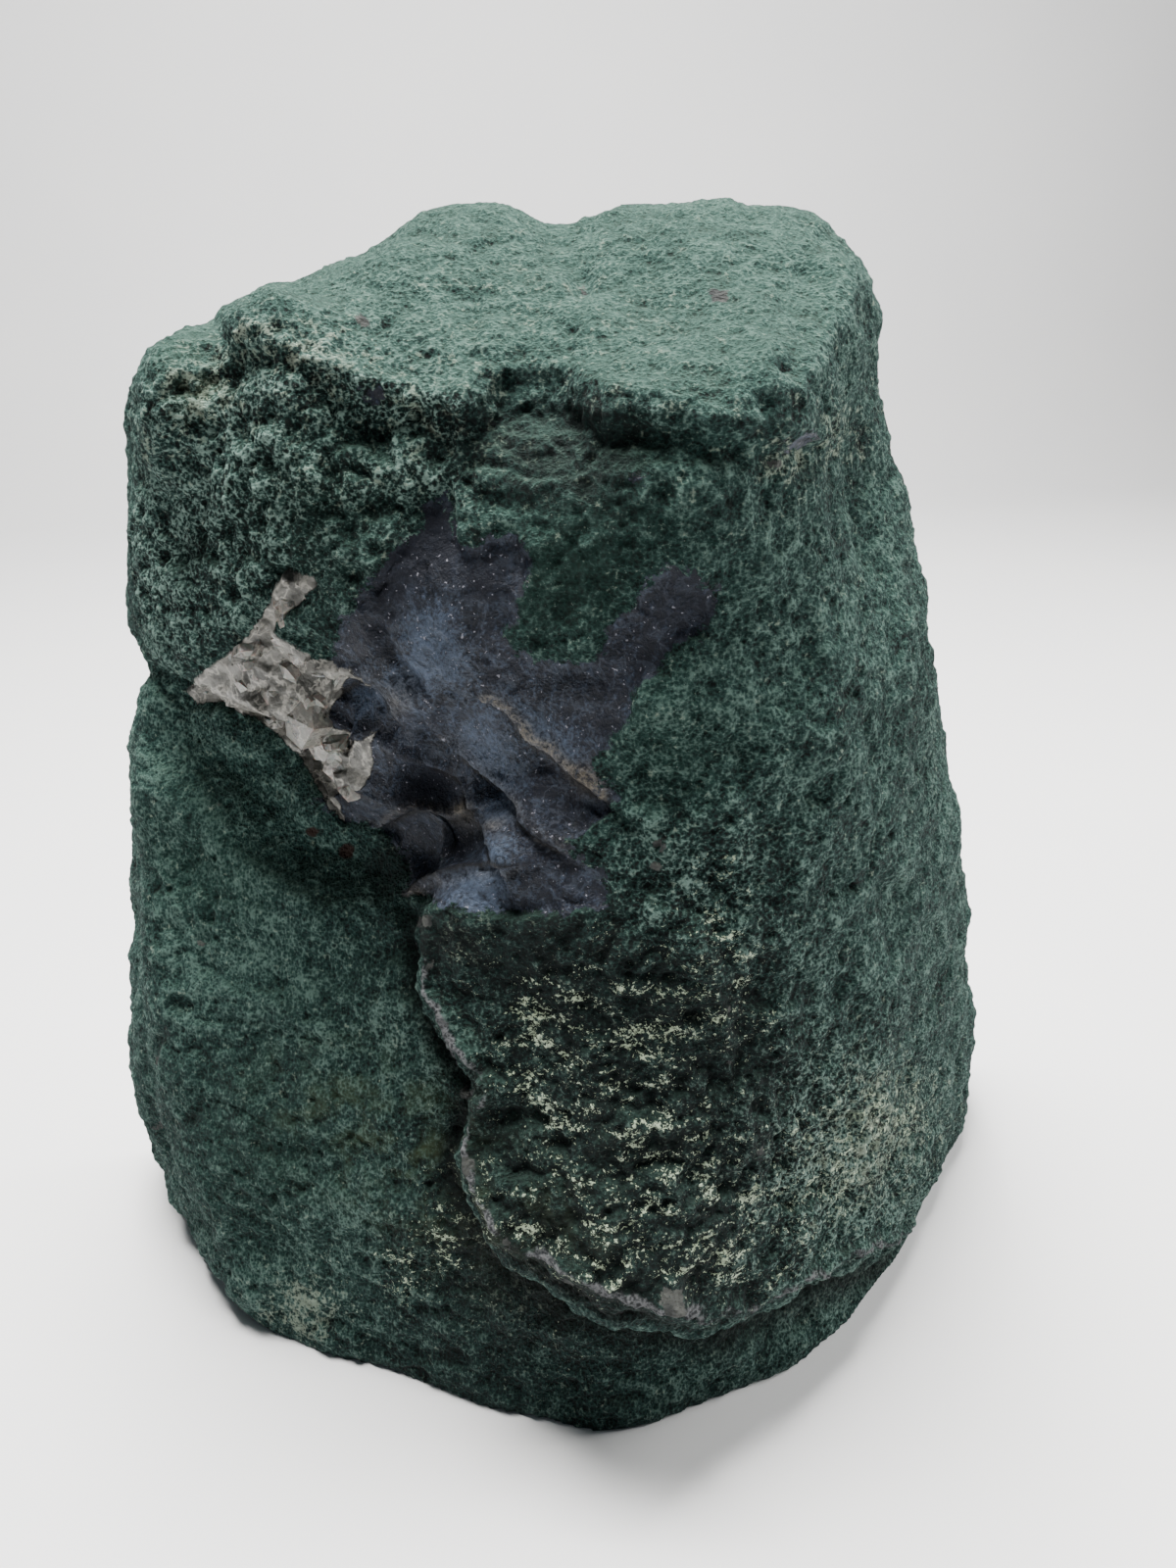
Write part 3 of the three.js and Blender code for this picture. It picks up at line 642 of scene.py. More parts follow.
u, v, scale = seen(points)
rays = points - EYE
rays /= np.linalg.norm(rays, axis=1, keepdims=True)
facing = np.clip(0.4 - 4 * np.einsum("ij,ij->i", normals, rays), 0, 1)
on_rind = (points[:, 2] > FLAT_TOLERANCE) * (points[:, 1] < CUT_FACE - FLAT_TOLERANCE)
in_view = facing * on_rind * np.clip((VIEW_END - points[:, 1]) / VIEW_FADE, 0, 1)
agate_mm = inside_mm(AGATE_EDGE)
quartz_mm = inside_mm(QUARTZ_EDGE)
print("share of the points in view:", (in_view > SEEN).mean().round(2))

# %% [markdown]
# The drawn marks come first. Each rib, ledge or dent is as high as its number says and fades out over its width,
# and a ledge also marks for the material its pale lip, partly painted light, and the dark crack at its foot,
# which is painted shade.

# %% Drawn relief
LIP_PLACE, LIP_WIDTH = -1.5, 1.2  # millimetres past the ledge
CRACK_PLACE, CRACK_WIDTH, CRACK_END = 0.8, 0.8, 2.5

drawn = np.zeros(len(points))
for path, width, height in RIBS.values():
    distance, _ = nearest_on_path(u, v, path, closed=False)
    drawn += height * np.exp(-(distance * scale / width) ** 2)
lit_edge = np.zeros(len(points))
crack = np.zeros(len(points))
for path, height, fade, pale in LEDGES.values():
    distance, side = nearest_on_path(u, v, path, closed=False)
    beyond = side * distance * scale
    drawn += height * np.clip(beyond / 0.9 + 0.5, 0, 1) * np.exp(-(beyond / fade) ** 2)
    # The pale lip is beige, partly painted light where it looks up.
    lit_edge += pale * np.exp(-((beyond - LIP_PLACE) / LIP_WIDTH) ** 2)
    # The crack at the ledge's foot, on its lower side, is painted shade.
    from_crack = np.exp(-((beyond - CRACK_PLACE) / CRACK_WIDTH) ** 2)
    crack += from_crack * np.exp(-(np.abs(distance * scale) / CRACK_END) ** 4)
for centre_u, centre_v, radius, height in DENTS.values():
    square = ((u - centre_u) ** 2 + (v - centre_v) ** 2) * scale ** 2
    drawn += height * np.exp(-square / radius ** 2)
print("drawn relief from", drawn.min().round(2), "to", drawn.max().round(2), "mm")

# %% [markdown]
# Three grounds follow. The rind is crumbly and pitted all over, coarse on the upper left and on the lower front,
# fine on the top. The quartz breaks in facets and the agate in shells and small chips. Along the edge of the broken
# layer the rim is rolled out and the ground below it is pressed in, as where a crust has peeled.

# %% Ground of the rind, the quartz and the agate
COARSE_PLACES = [
    (330, 450, 130, 1.0), (190, 580, 90, 0.7), (660, 430, 40, 0.3), (430, 450, 50, 0.8), (600, 1150, 190, 0.8),
    (820, 1180, 120, 0.7), (720, 900, 90, 0.5), (180, 400, 50, 0.6),
]
SHELVED_PLACES = [(600, 1150, 190, 0.7), (840, 1200, 130, 0.6), (480, 1390, 120, 0.4), (450, 1240, 80, 0.8)]
RIM_FROM, RIM_GROWS = 900, 60  # the row of the view where the rim starts, and how many rows it takes
WIDENING = [1150, 1290]  # rows between which the rim and its shade get wider
FLATS_FADE = 5  # millimetres from the sawn face and the base over which relief sets in

coarse = np.clip(0.2 + bells(COARSE_PLACES) * 0.9, 0, 1) * (1 - 0.6 * np.clip(normals[:, 2], 0, 1))
lumpy = lumps_of(points, (2.4, 17, 10), (1.9, 7.5, 11))
foam = nearest_seed(points, 2.2, 12)[0] - 0.5
crumbs = 1.4 * foam + lumps_of(points, (0.9, 3.6, 13), (0.6, 1.6, 19))
pitted = np.clip(3 * lattice_noise(points, 16, 14) + 0.4, 0, 1)
pits = pitted * pits_of(points, 7.5, 15, 0.22) ** 0.6
hollows = pits_of(points, 8.0, 21, 0.5)
shelves = np.clip(2.5 * lattice_noise(points * [0.5, 0.5, 1.5], 5.0, 20), -1, 1) * bells(SHELVED_PLACES)
creases = np.clip(1 - np.abs(lattice_noise(points, 22, 25)) / 0.1, 0, 1) * pitted
rind_ground = lumpy * (0.4 + 0.35 * coarse) + crumbs * (0.5 + 0.8 * coarse) + 0.4 * shelves - 0.8 * creases
rind_ground -= (1.0 + 0.9 * coarse) * pits + 2.2 * hollows * coarse

facets = 0.42 * nearest_seed(points, 8.5, 18)[1]
small_chips = 0.13 * nearest_seed(points + 0.8 * lattice_noise(points, 3, 24)[:, None], 4.2, 23)[1]
shell = lumps_of(points, (0.8, 13, 16), (0.3, 5, 17)) + small_chips
in_agate = np.clip(0.5 + agate_mm / 2, 0, 1)
in_quartz = np.clip(0.5 + quartz_mm / 2, 0, 1)
ground = rind_ground * (1 - in_agate) * (1 - in_quartz) + facets * in_quartz + shell * in_agate * (1 - in_quartz)

edge_distance = outline_distance(u, v, CORE_EDGE) * scale
ragged_edge = edge_distance + 1.6 * lattice_noise(points, 7, 22)
low_edge = in_view * np.clip((v - RIM_FROM) / RIM_GROWS, 0, 1)
rim_width = np.interp(v, WIDENING, [1.3, 2.2])
edge_rim = np.exp(-((ragged_edge - rim_width) / rim_width) ** 2) * low_edge
shade_width = np.interp(v, WIDENING, [2.0, 4.5])
edge_shade = np.exp(-((ragged_edge + 0.6 + shade_width) / shade_width) ** 2) * low_edge
ground += 1.8 * edge_rim - 3.2 * edge_shade

from_flats = np.clip(np.minimum(CUT_FACE - points[:, 1], points[:, 2]) / FLATS_FADE, 0, 1)
relief = (drawn * in_view + ground) * on_rind * from_flats
points = points + normals * relief[:, None]
print("relief from", relief.min().round(2), "to", relief.max().round(2), "mm")

# %% [markdown]
# Colour follows what happened to each place. On the rind, cream crumbs and pale dust have settled, some ground is
# greener, and moss-coloured stains lie beside the broken edge. Painted shade lies under the lip and below it, in
# the deep corner of the recess and on the foot, and the lower front is made darker. These are soft round places,
# because the materials make them ragged with noise of their own. Painting an image would be the other way, but it
# would be sharp at one size only.

# %% Places on the rind
PALE_SPECKS = [
    (570, 1025, 36, 0.7), (660, 1140, 50, 0.5), (600, 1180, 50, 0.5), (710, 1230, 60, 0.8), (620, 1290, 60, 0.8),
    (740, 1290, 60, 0.8), (540, 1270, 40, 0.5), (860, 1180, 70, 0.6), (820, 1260, 60, 0.5), (930, 1130, 50, 0.4),
    (285, 352, 40, 0.7), (800, 470, 30, 0.5), (640, 1130, 170, 0.62), (500, 1370, 90, 0.35), (730, 1020, 60, 0.5),
    (470, 1230, 45, 1.0), (430, 1290, 50, 0.8), (470, 990, 40, 0.5), (735, 960, 60, 0.6), (735, 880, 45, 0.6),
    (880, 1130, 130, 0.4), (600, 970, 120, 0.35), (560, 1090, 110, 0.3),
    (500, 310, 90, 0.25), (390, 370, 60, 0.5), (215, 400, 50, 0.6), (345, 325, 40, 0.4), (560, 1090, 50, 0.6),
    (380, 1150, 60, 0.4), (330, 1310, 60, 0.6), (600, 1400, 70, 0.35),
]
# Painted shade under the lip, in the recess's deep corner and on the foot; a darker lower front.
SHADE_AND_DARK_PLACES = [
    (530, 960, 80, 0.9), (440, 960, 40, 0.6), (600, 1180, 140, 1.2), (720, 1060, 90, 0.7), (395, 885, 26, 1.2),
    (250, 1130, 120, 0.3), (540, 450, 50, 0.9), (610, 458, 50, 0.9), (470, 450, 40, 0.5), (640, 1050, 80, 0.7),
    (720, 1130, 80, 0.8), (540, 1250, 90, 1.0), (700, 1260, 80, 0.7), (560, 610, 60, 0.35), (360, 560, 80, 0.4),
    (700, 1380, 110, 0.2), (500, 1400, 130, 0.5), (600, 500, 90, 0.3),
]
GREEN_PLACES = [
    (320, 520, 90, 0.5), (560, 590, 70, 0.7), (640, 520, 90, 0.4), (260, 1180, 110, 0.4), (210, 880, 70, 0.5),
    (150, 350, 40, 0.6), (690, 760, 60, 0.4),
]
YELLOW_PLACES = [
    (430, 1180, 70, 0.8), (480, 1240, 50, 0.7), (330, 1120, 60, 0.5), (560, 1250, 70, 0.5), (200, 390, 30, 0.6),
]
PALE_PLACES = [
    (290, 352, 40, 0.45), (250, 335, 20, 0.3), (205, 368, 34, 0.45), (180, 405, 34, 0.35), (222, 415, 30, 0.4),
    (345, 372, 40, 0.4), (420, 410, 34, 0.35), (800, 474, 26, 0.6), (855, 440, 40, 0.5), (900, 1130, 70, 0.45),
    (310, 1335, 40, 0.7), (480, 470, 60, 0.25), (330, 470, 80, 0.2), (500, 310, 90, 0.2), (660, 350, 90, 0.2),
    (520, 1330, 30, 0.4), (470, 960, 24, 0.4), (150, 470, 40, 0.3), (870, 1200, 60, 0.4),
]
print("places on the rind:", sum(map(len, (PALE_SPECKS, SHADE_AND_DARK_PLACES, GREEN_PLACES, YELLOW_PLACES, PALE_PLACES))))

# %% [markdown]
# The broken agate is blue-grey where it is bruised, navy on its upper left and beige along its ledges. Painted
# shade darkens its scoop to navy, and painted light lifts the beige on the ledges' lips. Small chips and windows in
# the rind bare the agate too, two brown spots lie under the scoop, and a glassy blue pocket cuts into the quartz.

# %% Places on the broken stone
BLUE_GREY_PLACES = [
    (435, 640, 30, 0.9), (450, 675, 30, 0.9), (415, 700, 30, 0.7), (500, 720, 30, 0.5), (545, 740, 26, 0.8),
    (580, 765, 24, 0.7), (480, 765, 30, 0.8), (505, 790, 26, 0.7), (498, 828, 16, 0.9), (510, 870, 20, 0.8),
    (470, 905, 30, 0.9), (500, 915, 24, 0.8), (368, 718, 18, 1.0), (380, 790, 24, 0.4), (530, 830, 30, 0.3),
]
# Beige along the ledges, partly painted light where their lips look up.
BEIGE_AND_LIT_PLACES = [
    (535, 748, 9, 0.7), (560, 766, 9, 0.6), (596, 796, 14, 0.9), (514, 826, 9, 0.5), (462, 830, 9, 1.0),
    (425, 918, 12, 0.9), (408, 712, 14, 0.5), (498, 842, 8, 0.6),
]
CHIPS = [
    (594, 284, 1.6), (733, 303, 2.4), (795, 475, 1.6), (668, 885, 1.8), (672, 860, 1.4), (742, 1028, 1.6),
    (480, 1118, 3.0), (684, 1325, 3.0), (745, 1085, 1.2), (432, 940, 2.2), (448, 1046, 1.8), (438, 985, 1.4),
    (555, 330, 1.4), (370, 325, 1.4), (918, 493, 1.6), (770, 1172, 1.6), (475, 1190, 2.0), (520, 1262, 2.4),
    (575, 1312, 2.0), (760, 1345, 2.0), (205, 965, 1.2), (158, 1085, 2.2), (156, 1150, 1.8), (225, 822, 1.2),
]
WINDOWS = [(648, 490, 1.6), (380, 402, 2.0), (815, 452, 1.6), (370, 395, 1.4)]
BROWN_SPOTS = [(355, 868, 2.4), (325, 845, 1.6)]
BLUE_POCKET = [(364, 714, 4.8), (376, 726, 4.8), (352, 730, 4.0), (366, 738, 4.0)]
# Navy agate on the upper left of the break; in the scoop and the facet under it, painted shade.
NAVY_AND_SCOOP_SHADE_PLACES = [
    (440, 525, 30, 0.5), (415, 575, 26, 0.5), (480, 590, 26, 0.4), (600, 690, 30, 0.3), (433, 806, 22, 1.0),
    (412, 822, 16, 0.8), (455, 862, 22, 0.8), (440, 560, 40, 0.9), (390, 610, 26, 0.8), (700, 615, 34, 0.8),
    (505, 590, 30, 0.5), (385, 660, 16, 0.5), (360, 760, 20, 0.4),
]
print("places on the broken stone:", len(BLUE_GREY_PLACES) + len(BEIGE_AND_LIT_PLACES) + len(NAVY_AND_SCOOP_SHADE_PLACES))
print("chips, windows, brown spots:", len(CHIPS), len(WINDOWS), len(BROWN_SPOTS))

# %% [markdown]
# All of it is kept on the mesh as numbers on its points, in millimetres or from 0 to 1, which the materials read.
# Vertex groups could hold them as well, but attributes take any number, also one below zero or above one.

# %% Numbers on the points
def spots(places):
    """Distance in millimetres inside the nearest of some round spots, less than zero outside them."""
    inward = [radius - np.hypot(u - cu, v - cv) * scale for cu, cv, radius in places]
    return np.where(in_view > SEEN, np.max(inward, axis=0), FAR_OUT)


weather = {
    "agate_mm": np.maximum(agate_mm, spots(WINDOWS)),
    "quartz_mm": np.minimum(quartz_mm, -spots(BLUE_POCKET)),
    "chip_mm": spots(CHIPS),
    "brown_mm": spots(BROWN_SPOTS),
    "specks": bells(PALE_SPECKS),
    "shade_and_dark": bells(SHADE_AND_DARK_PLACES),
    "green": bells(GREEN_PLACES),
    "yellow": bells(YELLOW_PLACES),
    "blue_grey": bells(BLUE_GREY_PLACES),
    "beige_and_lit": np.clip(bells(BEIGE_AND_LIT_PLACES) + lit_edge * in_view, 0, 1),
    "crack": np.clip(crack * in_view, 0, 1),
    "navy_and_scoop_shade": bells(NAVY_AND_SCOOP_SHADE_PLACES),
    "pale": bells(PALE_PLACES),
    "broken_edge": edge_rim,
    "edge_shade": edge_shade,
    "recess": np.clip(0.5 - edge_distance / 3, 0, 1) * in_view,
    # crest: high on crumbs, low in pits and hollows; the rind's colour paints shade and light of the relief by it.
    "crest": np.clip(0.5 + (crumbs + 0.5 * shelves - 1.6 * pits - 1.6 * hollows * coarse) / 2.4, 0, 1),
    "coarse": coarse,
}
sawn_depth = -rock_field(sawn_points)
layers = {"depth_mm": sawn_depth, "wall_mm": hollow_field(sawn_points, -sawn_depth)}
print("kept on each point:", ", ".join([*weather, *layers]))

# %% [markdown]
# A kept piece stays under two hundred thousand triangles, so the rind with the base is four strips of equal
# count from left to right, and the sawn face with the wall of the hollow is one more. They share their borders
# point for point, and the strips take the normals of the whole rind, so no seam shows. The part's origin is the
# middle of the rock's footprint, and from here on everything is in metres.

# %% Rock meshes
MM = 0.001
MIDDLE_X = -2.04
ORIGIN = np.array([MIDDLE_X, CUT_FACE - model_box[1][1] / MM, 0.0])
print("origin of the part in the measured frame:", ORIGIN.round(2))


def in_part_frame(place):
    """A measured place in millimetres as a place in the part's frame, in metres."""
    return (np.asarray(place) - ORIGIN) * MM


def in_scene(name, data):
    """An object with its data, put in the scene."""
    made = bpy.data.objects.new(name, data)
    bpy.context.scene.collection.objects.link(made)
    return made


def rock_piece(name, points, quads, normals, numbers, material):
    """One mesh object with smooth shading and numbers on its points."""
    used, renumbered = np.unique(quads, return_inverse=True)
    mesh = bpy.data.meshes.new(name)
    mesh.from_pydata(in_part_frame(points[used]).tolist(), [], renumbered.reshape(-1, 4).tolist())
    for label, values in numbers.items():
        attribute = mesh.attributes.new(label, "FLOAT", "POINT")
        attribute.data.foreach_set("value", values[used].astype(np.float32))
    mesh.polygons.foreach_set("use_smooth", np.ones(len(quads), bool))
    mesh.normals_split_custom_set_from_vertices(normals[used].tolist())
    mesh.materials.append(material)
    piece = in_scene(name, mesh)
    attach(piece, "root")
    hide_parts("geode_body")
    print(name, "triangles:", 2 * len(quads))


# %% [markdown]
# Materials are small node trees. One function adds a node of any kind: values go to its inputs in the order in
# which the node shows them, or to an input or a setting by name. Sizes of patterns are real ones: the object's own
# coordinates are turned into millimetres first, and a pattern's scale is one over its size.

# %% Nodes
def srgb(code):
    """An sRGB hex colour as the linear colour that shaders take."""
    parts = [int(code[n:n + 2], 16) / 255 for n in (1, 3, 5)]
    return tuple(c / 12.92 if c <= 0.04045 else ((c + 0.055) / 1.055) ** 2.4 for c in parts) + (1.0,)


print("a middle grey as a shader takes it:", [round(c, 3) for c in srgb("#808080")])


def node(tree, kind, *values, out=None, **named):
    """Adds a shader node and gives its output by name, or its first live one.

    Values without a name go to the live inputs in turn. A name with a capital is an input, any other a setting.
    """
    made = tree.nodes.new("ShaderNode" + kind)
    for name, value in named.items():
        if name[0].islower():
            setattr(made, name, value)
    inputs = list(zip([socket for socket in made.inputs if socket.enabled], values))
    inputs += [(made.inputs[name.replace("_", " ")], named[name]) for name in named if name[0].isupper()]
    for socket, value in inputs:
        if isinstance(value, bpy.types.NodeSocket):
            tree.links.new(value, socket)
        else:
            socket.default_value = srgb(value) if isinstance(value, str) else value
    return made.outputs[out] if out else next((socket for socket in made.outputs if socket.enabled), None)


def new_material(name):
    """An empty material, the function that adds nodes to it, and the object's own coordinates in millimetres."""
    material = bpy.data.materials.new(name)
    material.use_nodes = True
    material.node_tree.nodes.clear()
    add = partial(node, material.node_tree)
    return material, add, add("VectorMath", add("TexCoord", out="Object"), Scale=1 / MM, operation="SCALE")


# %% [markdown]
# Three steps come back in every stone. A weighed sum mixes causes into one measure. Coats lay one colour over
# another, each where its measure runs from one limit to the next, which is how layers and stains lie on a real
# rock. And a wobble shifts the coordinates by a noise, so that a regular pattern turns irregular.

# %% Sums, coats and wobbles
def weighed(add, start, *parts):
    """A number plus each part times its weight."""
    total = start
    for part, weight in parts:
        total = add("Math", part, weight, total, operation="MULTIPLY_ADD")
    return total


def coated(add, colour, *coats):
    """A colour under coats, each with its measure, its limits (or none for a plain share), strength and colour."""
    for measure, limits, strength, coat in coats:
        if limits:
            share = add("MapRange", measure, *limits, 0.0, strength, interpolation_type="SMOOTHSTEP")
        else:
            share = add("Math", measure, strength, operation="MULTIPLY")
        colour = add("Mix", share, colour, coat, data_type="RGBA")
    return colour


def smooth_step(add, measure, low, high):
    """0 before the low limit, 1 past the high one and smooth between."""
    return add("MapRange", measure, low, high, interpolation_type="SMOOTHSTEP")


def wobbled(add, place, size, reach):
    """The place shifted by up to half a reach in millimetres, by a noise of a size."""
    shift = add("TexNoise", place, 1 / size, 2.0, out="Color")
    shift = add("VectorMath", shift, (0.5, 0.5, 0.5), operation="SUBTRACT")
    shift = add("VectorMath", shift, Scale=reach, operation="SCALE")
    return add("VectorMath", place, shift, operation="ADD")


def off_veins(add, place, size):
    """How far a place is from thin wandering veins, 0 on them."""
    field = add("TexNoise", place, 1 / size, 3, 0.6)
    return add("Math", weighed(add, -0.5, (field, 1)), operation="ABSOLUTE")


VEIN = (0.05, 0.0)

# %% [markdown]
# The rind is a porous green skin, celadonite and clay over the agate. Close up it is crumbs a millimetre or so
# across with gaps between them, spongy where it is coarse and drawn out into strands in the recess, and it gives
# the rock its dull, rough, drinking look. Its colour carries a painted shade of that relief, darker in gaps, pores
# and pits, and painted highlights on crests and some granules. Pale dust and painted light from above lighten what
# looks up, salt-like clumps sit on the corners, moss-coloured stains lie beside the broken edge, and cream crumbs
# drift over the lower front.

# %% Green rind
def rind_layer(add, marks, place):
    """Colour and height of the green rind, and its patches."""
    coarse, recess, crest, shade_and_dark = (marks[label] for label in ("coarse", "recess", "crest", "shade_and_dark"))
    squat = add("VectorMath", place, (0.8, 0.8, 1.3), operation="MULTIPLY")
    upright = add("VectorMath", place, (1.4, 1.4, 0.4), operation="MULTIPLY")
    lying = add("VectorMath", place, (1.0, 1.0, 0.6), operation="MULTIPLY")
    flakes = add("TexNoise", squat, 1 / 0.65, 3, 0.8)
    strands = add("TexNoise", upright, 1 / 0.75, 3, 0.75)
    pores = add("TexVoronoi", wobbled(add, place, 1.0, 0.9), 1 / 1.0)
    crumbs = weighed(add, 0.0, (pores, 0.4), (add("Mix", recess, flakes, strands), 0.7))
    patches = add("TexNoise", place, 1 / 9, 3, 0.6)
    blotches = add("TexNoise", lying, 1 / 26, 3, 0.55)
    walls = add("TexVoronoi", wobbled(add, place, 1.6, 2.2), 1 / 1.7, feature="DISTANCE_TO_EDGE")
    sponge = add("Math", walls, coarse, operation="MULTIPLY")
    gain = weighed(add, 1.3, (coarse, 1.1), (recess, -0.2))
    # Tone: painted shade and highlight of the relief (dark in gaps, cells and pits, light on crests), random
    # patches.
    tone = weighed(add, -0.095, (crumbs, gain), (gain, -0.53), (coarse, 0.156), (sponge, -1.3), (crest, 0.4),
                   (patches, 0.25), (blotches, 0.3), (shade_and_dark, -0.25), (recess, 0.06))
    # Pale granules, partly painted highlights: small light flecks, more on crests and coarse ground.
    pale_granules_and_highlights = weighed(add, -0.03, (add("TexNoise", place, 1 / 0.8, 3, 0.7), 1), (crest, 0.06), (coarse, 0.06))
    clumps = add("TexNoise", wobbled(add, place, 2, 2), 1 / 3.4, 4, 0.75)
    salt = weighed(add, 0.0, (clumps, 1), (crumbs, 0.7), (marks["pale"], 0.32))
    moss = add("Math", smooth_step(add, patches, 0.4, 0.7), marks["yellow"], operation="MULTIPLY")
    # Pale dust, and painted light from above: what looks up, and its crests, is coated a lighter green.
    upward = add("SeparateXYZ", add("NewGeometry", out="Normal"), out="Z")
    dust_and_top_light = weighed(add, 0.0, (upward, 0.9), (crumbs, 0.9))
    # High tone takes a light colour, lighter on coarse ground: painted highlights on the crumbs' tops.
    green = coated(
        add, "#040D0C",
        (tone, (0.05, 0.45), 1.0, "#1D3B37"),
        (tone, (0.38, 0.8), 1.0, add("Mix", coarse, "#516D64", "#8BA69C", data_type="RGBA")),
        (marks["green"], None, 0.5, "#143A2E"),
        (pale_granules_and_highlights, (0.66, 0.74), 0.55, "#9DB3A6"),
        (salt, (1.02, 1.22), 0.7, add("Mix", patches, "#829883", "#AEB3A2", data_type="RGBA")),
        (moss, None, 0.7, "#4C5838"),
        (dust_and_top_light, (0.75, 1.6), 0.55, "#527064"),
        # Dark places: painted shade under the lip, in the recess's deep corner and on the foot; darker lower front.
        (shade_and_dark, None, 0.55, "#0B1918"),
        (cream_crumbs(add, marks, place), (-0.03, 0.03), 1.0,
         add("Mix", patches, "#B2C49C", "#D8E6D2", data_type="RGBA")))
    return green, crumbs, patches


def cream_crumbs(add, marks, place):
    """Above zero on crumbs a millimetre wide, in drifts where the mesh says that they lie."""
    upright = add("VectorMath", place, (0.9, 0.9, 1.15), operation="MULTIPLY")
    flat = add("VectorMath", place, (0.6, 0.6, 1.3), operation="MULTIPLY")
    flecks = add("TexNoise", wobbled(add, upright, 1, 1.2), 1 / 1.0, 3, 0.75)
    drifts = add("Math", add("TexNoise", flat, 1 / 5, 4, 0.7), marks["specks"], operation="MULTIPLY")
    return weighed(add, -0.84, (flecks, 1), (drifts, 0.9), (marks["specks"], -0.28), (marks["crest"], 0.08))


# %% [markdown]
# The broken agate in the same mesh is smooth, waxy and slate coloured. It goes blue-grey where it is bruised and
# navy on its upper left, and has fine scales, veins, a few bright flakes and beige along its fresh ledges. Painted
# shade makes its scoop navy and the crack at each ledge's foot near black, and painted light lifts the beige on the
# ledges' lips. The quartz beside it is a cloudy white that goes grey.

# %% Broken agate and quartz
def agate_layer(add, marks, place):
    """Colour and height of the freshly broken agate."""
    streaked = add("VectorMath", wobbled(add, place, 7, 9), (1.0, 1.0, 0.55), operation="MULTIPLY")
    scales = add("TexNoise", streaked, 1 / 1.9, 4, 0.7)
    fine = add("TexNoise", place, 1 / 0.8, 3, 0.7)
    mottle = weighed(add, -2.2, (scales, 2.2), (fine, 2.2))
    both = weighed(add, 0.0, (scales, 1), (fine, 1))
    # Beige on the ledges' lips, partly painted light where they look up.
    beige_and_lit = add("Math", smooth_step(add, both, 0.8, 1.25), marks["beige_and_lit"], operation="MULTIPLY")
    slate = coated(
        add, "#070D17",
        (add("TexNoise", place, 1 / 14, 5, 0.6), (0.35, 0.65), 1.0, "#171A24"),
        (mottle, (-0.2, 0.9), 1.0, "#2B3443"),
        (off_veins(add, wobbled(add, place, 6, 8), 7), VEIN, 0.16, "#667182"),
        (weighed(add, mottle, (marks["blue_grey"], 1)), (0.1, 1.4), 0.62, "#4F5D71"),
        # Navy agate, and painted shade in the scoop.
        (marks["navy_and_scoop_shade"], None, 0.85, "#080C17"),
        (beige_and_lit, None, 0.75, "#79705F"),
        (add("TexNoise", place, 1 / 1.2, 2, 0.7), (0.66, 0.71), 0.8, "#85858F"),
        # The crack at each ledge's foot is painted shade, near black.
        (marks["crack"], None, 0.9, "#0A0807"))
    return slate, weighed(add, 0.0, (scales, 0.22), (fine, 0.15))


def quartz_layer(add, place):
    """Colour and height of the broken quartz between its crystals."""
    clouds = add("TexNoise", place, 1 / 6, 5, 0.65)
    veins = off_veins(add, place, 5)
    pale = coated(add, "#3C3C39", (clouds, (0.35, 0.65), 1.0, "#7A7974"), (veins, VEIN, 0.6, "#A9A69E"))
    return pale, weighed(add, 0.0, (clouds, 0.4))


# %% [markdown]
# The numbers on the points say how many millimetres a place lies inside the agate, the quartz or a chip. A ragged
# noise is added to them before they are cut, so the borders get bays and teeth. Along the broken edge of the layer
# the rim is grey and gappy, and the ground beside it is in shade.

# %% Rind with its broken agate and quartz
BORDER = (-0.2, 0.2)


